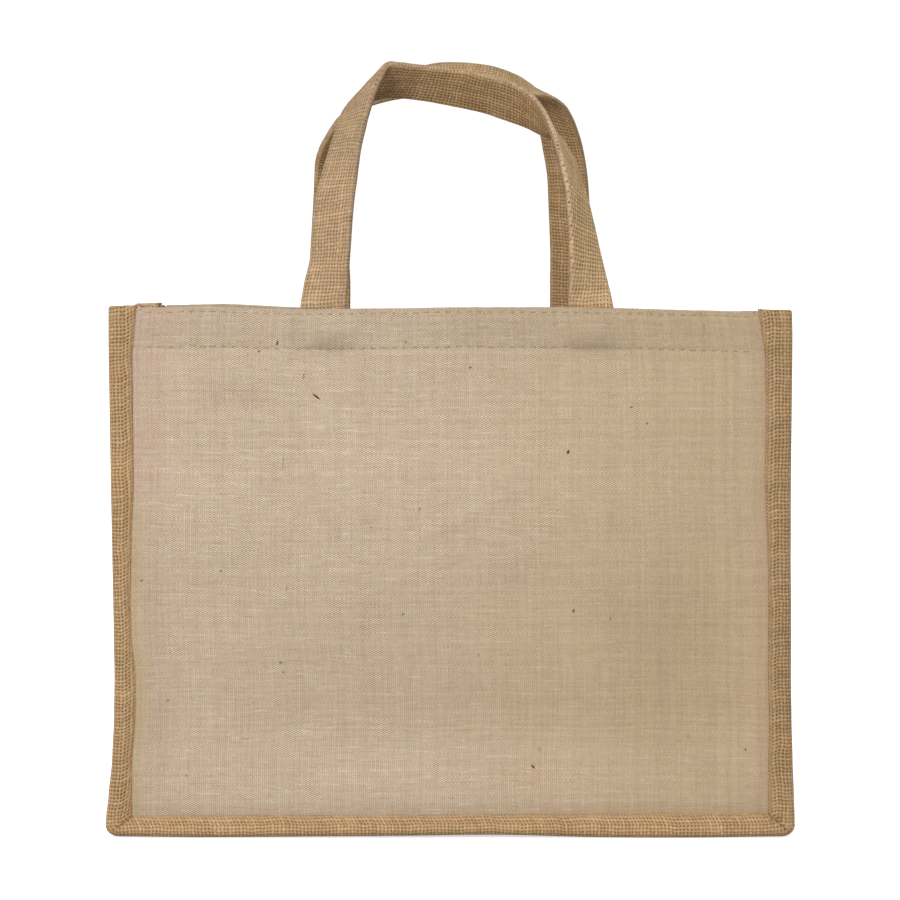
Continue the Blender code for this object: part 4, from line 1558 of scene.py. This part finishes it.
def handle_sheet(sections, side, sizes):
    """A closed band of hessian folded in four."""
    rows = band_rows(sections, side, sizes)
    sheet = Sheet()
    vertices = []
    flats = []
    run = 0.0
    previous = rows[0]
    for row, normals in zip(rows, band_normals(rows)):
        run += (row[HANDLE_COLUMNS // 2] - previous[HANDLE_COLUMNS // 2]).length
        previous = row
        ring, flat = band_ring(row, normals, run, side, sizes)
        vertices.append([sheet.bm.verts.new(point) for point in ring])
        flats.append(flat)
    count = len(flats[0])
    for i in range(len(rows) - 1):
        for j in range(count):
            k = (j + 1) % count
            corners = ((i, j), (i, k), (i + 1, k), (i + 1, j))
            places = []
            for a, b in corners:
                u, v = flats[a][b]
                u = BOTH_SIDES if k == 0 and b == 0 else u
                places.append((BOTH_SIDES - u if side == BACK else u, v))
            sheet.face([vertices[a][b] for a, b in corners], places)
    for i in (0, len(rows) - 1):
        for j in range(HANDLE_COLUMNS):
            across = (j, j + 1, (count - j - 1) % count, (count - j) % count)
            ring = list(dict.fromkeys(vertices[i][index] for index in across))
            ring = ring[::-1] if i == 0 else ring
            # the cut ends take their colour from the cloth near the first foot
            sheet.face(ring, [(j + n * 0.5, i * 0.1 - 2.0) for n in range(len(ring))])
    return sheet


# The band's bake: its first half beside its second half, and one cut end in a corner
SECOND_START = 59.0
BAND_SQUARE = 120.0
BAND_SPARE = 4.0
BAND_FILL = 0.96
END_CORNER = 0.97


def finish_band(sheet, name, material):
    """Writes the closed band, its two halves next to each other on the bake's square."""
    bmesh.ops.recalc_face_normals(sheet.bm, faces=sheet.bm.faces)
    obj = write_mesh(sheet.bm, name, material)
    mesh = obj.data
    places = [tuple(item.uv) for item in mesh.uv_layers["weave"].data]
    half = max(v for _, v in places) / 2
    layout = mesh.uv_layers.new(name="OFBake").data
    for polygon in mesh.polygons:
        middle = sum(places[loop][1] for loop in polygon.loop_indices) / polygon.loop_total
        for n, loop in enumerate(polygon.loop_indices):
            if middle < 0:
                layout[loop].uv = (END_CORNER + 0.01 * (n % 2), END_CORNER + 0.01 * (n // 2))
                continue
            u, v = places[loop]
            x = (u + (SECOND_START if middle > half else 0.0)) / BAND_SQUARE
            y = (v - (half if middle > half else 0.0)) / (half + BAND_SPARE)
            layout[loop].uv = (x * BAND_FILL, y * BAND_FILL + BAKE_MARGIN)
    mesh.shade_smooth()
    return obj


# ---- stitches

# One stitch: shares of its length, and how high and how wide its thread is there
STITCH_RINGS = (
    (0.0, -1.6, 0.55),
    (0.12, -0.2, 0.95),
    (0.35, 0.45, 1.05),
    (0.65, 0.45, 1.05),
    (0.88, -0.2, 0.95),
    (1.0, -1.6, 0.55),
)
THREAD_SIDES = 6
STITCH_SHARE = 0.72

# Where the rows end: short of the seams, further in on the inside, and clear of the feet
ROW_END = 4.5
INSIDE_END = 3.0
FOOT_MARGIN = 1.0


class Stitches:
    """Short loops of thread, each with both ends sunk in the cloth."""

    def __init__(self, sizes, seed):
        self.bm = bmesh.new()
        self.thread = sizes.thread / MM / 2
        self.length = sizes.stitch_length / MM
        self.random = random.Random(seed)

    def stitch(self, start, end, out):
        """One stitch that lies on the cloth from start to end."""
        along = (end - start).normalized()
        across = along.cross(out).normalized()
        rings = []
        for share, lift, width in STITCH_RINGS:
            centre = start.lerp(end, share) + out * lift * self.thread
            ring = []
            for i in range(THREAD_SIDES):
                angle = math.radians(360 / THREAD_SIDES * i)
                offset = across * math.cos(angle) * 1.15 + out * math.sin(angle) * 0.85
                ring.append(self.bm.verts.new(centre + offset * self.thread * width))
            rings.append(ring)
        for low, high in zip(rings, rings[1:]):
            for i in range(THREAD_SIDES):
                j = (i + 1) % THREAD_SIDES
                self.bm.faces.new((low[i], low[j], high[j], high[i]))
        self.bm.faces.new(rings[0][::-1])
        self.bm.faces.new(rings[-1])

    def row(self, surface, start, end, sideways):
        """A row of stitches over a surface that gives a place and its way out."""
        count = max(1, round(abs(end - start) / self.length))
        for i in range(count):
            wobble = self.random.uniform(-0.25, 0.25)
            length = STITCH_SHARE * self.random.uniform(0.92, 1.06)
            lean = self.random.uniform(-0.22, 0.22)
            low = blend(start, end, (i + (1.0 - length) / 2) / count)
            high = blend(start, end, (i + (1.0 + length) / 2) / count)
            first, out = surface(low)
            second, _ = surface(high)
            first = first + sideways * (wobble - lean)
            self.stitch(first, second + sideways * (wobble + lean), out)

    def finish(self, name, material):
        bmesh.ops.recalc_face_normals(self.bm, faces=self.bm.faces)
        obj = write_mesh(self.bm, name, material)
        obj.data.shade_smooth()
        return obj


def hem_surface(side, below, sizes, inside=False):
    """Place and way out along a panel's hem, as a function of x."""
    thick = 2 * (sizes.panel_cloth / MM + HEM_GAP / 2)

    def surface(x):
        point = panel_surface(x, rim_height(x, side) - below, side)
        out = Vector((0, side, 0))
        if inside:
            return point - out * thick, -out
        return point, out

    return surface


def covered_by_feet(sections):
    """Where each of a handle's feet starts and stops to cover the inside of the hem."""
    ends = []
    for foot in (sections[0], sections[-1]):
        low, high = sorted((foot.inner_x, foot.outer_x))
        ends += [low - FOOT_MARGIN, high + FOOT_MARGIN]
    return ends


# ---- operators


class BAG_OT_panels(Operator):
    """Makes the two juco panels"""

    bl_idname = "bag.panels"
    bl_label = "Panels"

    def execute(self, context):
        scene = context.scene
        sizes = scene.bag_sizes
        for side, name, flat, flecks, tones_and_painted_light, seed in (
            (FRONT, "front_panel", (0.393, 0.352), FLECKS, TONES_AND_PAINTED_LIGHT, 20.0),
            (BACK, "back_panel", (0.393, 0.347), (), (), 60.0),
        ):
            look = (scene.bag_colours, scene.bag_weave, flecks, tones_and_painted_light, seed)
            material = juco_material(f"juco_{name}", *look)
            sheet = panel_sheet(side, sizes)
            piece = sheet.finish(f"{name}_cloth", material, sizes.panel_cloth, side == BACK)
            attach(piece, "root")
            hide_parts(name)
        return {"FINISHED"}


class BAG_OT_gusset(Operator):
    """Makes the hessian strip that forms both sides and the base"""

    bl_idname = "bag.gusset"
    bl_label = "Gusset"

    def execute(self, context):
        scene = context.scene
        sizes = scene.bag_sizes
        sheet = gusset_sheet(sizes)
        material = gusset_material(scene.bag_colours, scene.bag_weave)
        piece = sheet.finish("gusset_cloth", material, sizes.gusset_cloth, False)
        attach(piece, "root")
        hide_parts("gusset")
        return {"FINISHED"}


class BAG_OT_handles(Operator):
    """Makes the two folded hessian handles"""

    bl_idname = "bag.handles"
    bl_label = "Handles"

    def execute(self, context):
        scene = context.scene
        for side, name, sections, length, tint in (
            (FRONT, "front_handle", FRONT_HANDLE, 0.422, (1.0, 1.0, 1.0)),
            # the back handle's outer side is darkened by its tint: painted shade
            (BACK, "back_handle", BACK_HANDLE, 0.456, (0.89, 0.90, 0.82)),
        ):
            look = (scene.bag_colours, scene.bag_weave, tint)
            material = handle_material(f"hessian_{name}", *look)
            sheet = handle_sheet(sections, side, scene.bag_sizes)
            piece = finish_band(sheet, f"{name}_band", material)
            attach(piece, "root")
            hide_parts(name)
        return {"FINISHED"}


class BAG_OT_stitches(Operator):
    """Sews the panels' hems, and the handles' feet into them"""

    bl_idname = "bag.stitches"
    bl_label = "Stitches"

    def execute(self, context):
        sizes = context.scene.bag_sizes
        thread = thread_material("hem_thread", tuple(context.scene.bag_colours.thread))
        up = Vector((0, 0, 1))
        for side, name, sections in ((FRONT, "front", FRONT_HANDLE), (BACK, "back", BACK_HANDLE)):
            stitches = Stitches(sizes, sizes.seed + side)
            left = LEVELS[-1].left_seam + ROW_END + shift(RIM_HEIGHT, side)
            right = LEVELS[-1].right_seam - ROW_END + shift(RIM_HEIGHT, side)
            ends = [left + INSIDE_END, *covered_by_feet(sections), right - INSIDE_END]
            for below in (UPPER_ROW, LOWER_ROW):
                stitches.row(hem_surface(side, below, sizes), left, right, up)
                inside = hem_surface(side, below, sizes, inside=True)
                for start, end in zip(ends[::2], ends[1::2]):
                    stitches.row(inside, start, end, up)
            piece = stitches.finish(f"{name}_hem_stitches", thread)
            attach(piece, "root")
        return {"FINISHED"}


WHITE = (1.0, 1.0, 1.0)
DULL_GREY = (0.5, 0.5, 0.5)
FLOOR_SIZE = 30.0
FLOOR_GLOW = 0.6
SEEN_SURROUND = 1.05
AIM = Vector((0.0, 0.0, 0.2))
CAMERA_PLACE = (-0.0006, -1.54067, 0.34208)


class BAG_OT_stage(Operator):
    """Sets up the floor, the soft lights and the camera"""

    bl_idname = "bag.stage"
    bl_label = "Stage"

    def execute(self, context):
        look = context.scene.studio_look
        self.floor(look)
        self.surround(look)
        self.light("key_light", (-1.1, -1.95, 1.15), 1.4, look.key_power)
        self.light("fill_light", (1.7, -1.2, 0.9), 1.6, look.fill_power)
        self.camera(look)
        context.scene.view_settings.view_transform = "Standard"
        return {"FINISHED"}

    def floor(self, look):
        """White to look at, but a duller grey in the light that it throws back up."""
        recipe = Recipe("floor_white", 0.9)
        recipe.feed(recipe.shader.inputs["Base Color"], tuple(look.floor))
        recipe.feed(recipe.shader.inputs["Emission Color"], WHITE)
        recipe.shader.inputs["Emission Strength"].default_value = FLOOR_GLOW
        dull = recipe.add("ShaderNodeBsdfDiffuse", inputs={"Color": DULL_GREY})
        seen = recipe.add("ShaderNodeLightPath", output="Is Camera Ray")
        shader = Value(recipe, recipe.shader.outputs[0])
        both = recipe.add("ShaderNodeMixShader", inputs={0: seen, 1: dull, 2: shader})
        recipe.feed(recipe.tree.nodes["Material Output"].inputs["Surface"], both)
        bm = bmesh.new()
        bmesh.ops.create_grid(bm, x_segments=8, y_segments=8, size=FLOOR_SIZE)
        mesh = bpy.data.meshes.new("floor")
        bm.to_mesh(mesh)
        bm.free()
        link("floor", mesh, recipe.material)

    def surround(self, look):
        """White to look at, but less bright in the light that it gives."""
        world = bpy.data.worlds.new("white surround")
        world.use_nodes = True
        tree = world.node_tree
        tree.nodes.clear()
        output = tree.nodes.new("ShaderNodeOutputWorld")
        switch = tree.nodes.new("ShaderNodeMixShader")
        path = tree.nodes.new("ShaderNodeLightPath")
        tree.links.new(path.outputs["Is Camera Ray"], switch.inputs[0])
        for socket, strength in ((1, look.surround), (2, SEEN_SURROUND)):
            light = tree.nodes.new("ShaderNodeBackground")
            light.inputs["Color"].default_value = (*WHITE, 1.0)
            light.inputs["Strength"].default_value = strength
            tree.links.new(light.outputs[0], switch.inputs[socket])
        tree.links.new(switch.outputs[0], output.inputs["Surface"])
        bpy.context.scene.world = world

    def light(self, name, place, size, power):
        data = bpy.data.lights.new(name, "AREA")
        data.shape = "DISK"
        data.size = size
        data.energy = power
        lamp = bpy.data.objects.new(name, data)
        lamp.location = place
        lamp.rotation_euler = (AIM - Vector(place)).to_track_quat("-Z", "Y").to_euler()
        bpy.context.scene.collection.objects.link(lamp)

    def camera(self, look):
        data = bpy.data.cameras.new("camera")
        data.sensor_width = 36.0
        data.lens = look.focal_length
        camera = bpy.data.objects.new("camera", data)
        camera.location = CAMERA_PLACE
        camera.rotation_euler = (math.radians(90.0) - look.camera_tilt, 0.0, 0.0)
        bpy.context.scene.collection.objects.link(camera)
        bpy.context.scene.camera = camera


class BAG_PT_panel(Panel):
    """Lists the bag's pieces in the sidebar"""

    bl_label = "Burlap Bag"
    bl_idname = "BAG_PT_panel"
    bl_space_type = "VIEW_3D"
    bl_region_type = "UI"
    bl_category = "Bag"

    def draw(self, context):
        column = self.layout.column()
        for operator in OPERATORS:
            column.operator(operator.bl_idname)
        for group in GROUPS:
            owner = getattr(context.scene, group)
            for name in owner.__annotations__:
                column.prop(owner, name)


GROUPS = {
    "bag_sizes": BagSizes,
    "bag_weave": BagWeave,
    "bag_colours": BagColours,
    "studio_look": StudioLook,
}
OPERATORS = (BAG_OT_stage, BAG_OT_panels, BAG_OT_gusset, BAG_OT_handles, BAG_OT_stitches)


def register():
    for name, group in GROUPS.items():
        bpy.utils.register_class(group)
        setattr(bpy.types.Scene, name, PointerProperty(type=group))
    for operator in OPERATORS:
        bpy.utils.register_class(operator)
    bpy.utils.register_class(BAG_PT_panel)


def unregister():
    bpy.utils.unregister_class(BAG_PT_panel)
    for operator in reversed(OPERATORS):
        bpy.utils.unregister_class(operator)
    for name, group in GROUPS.items():
        delattr(bpy.types.Scene, name)
        bpy.utils.unregister_class(group)


def main():
    register()
    bpy.ops.bag.stage()
    bpy.ops.bag.panels()
    bpy.ops.bag.gusset()
    bpy.ops.bag.handles()
    bpy.ops.bag.stitches()
    bpy.context.view_layer.update()


if __name__ == "__main__":
    main()
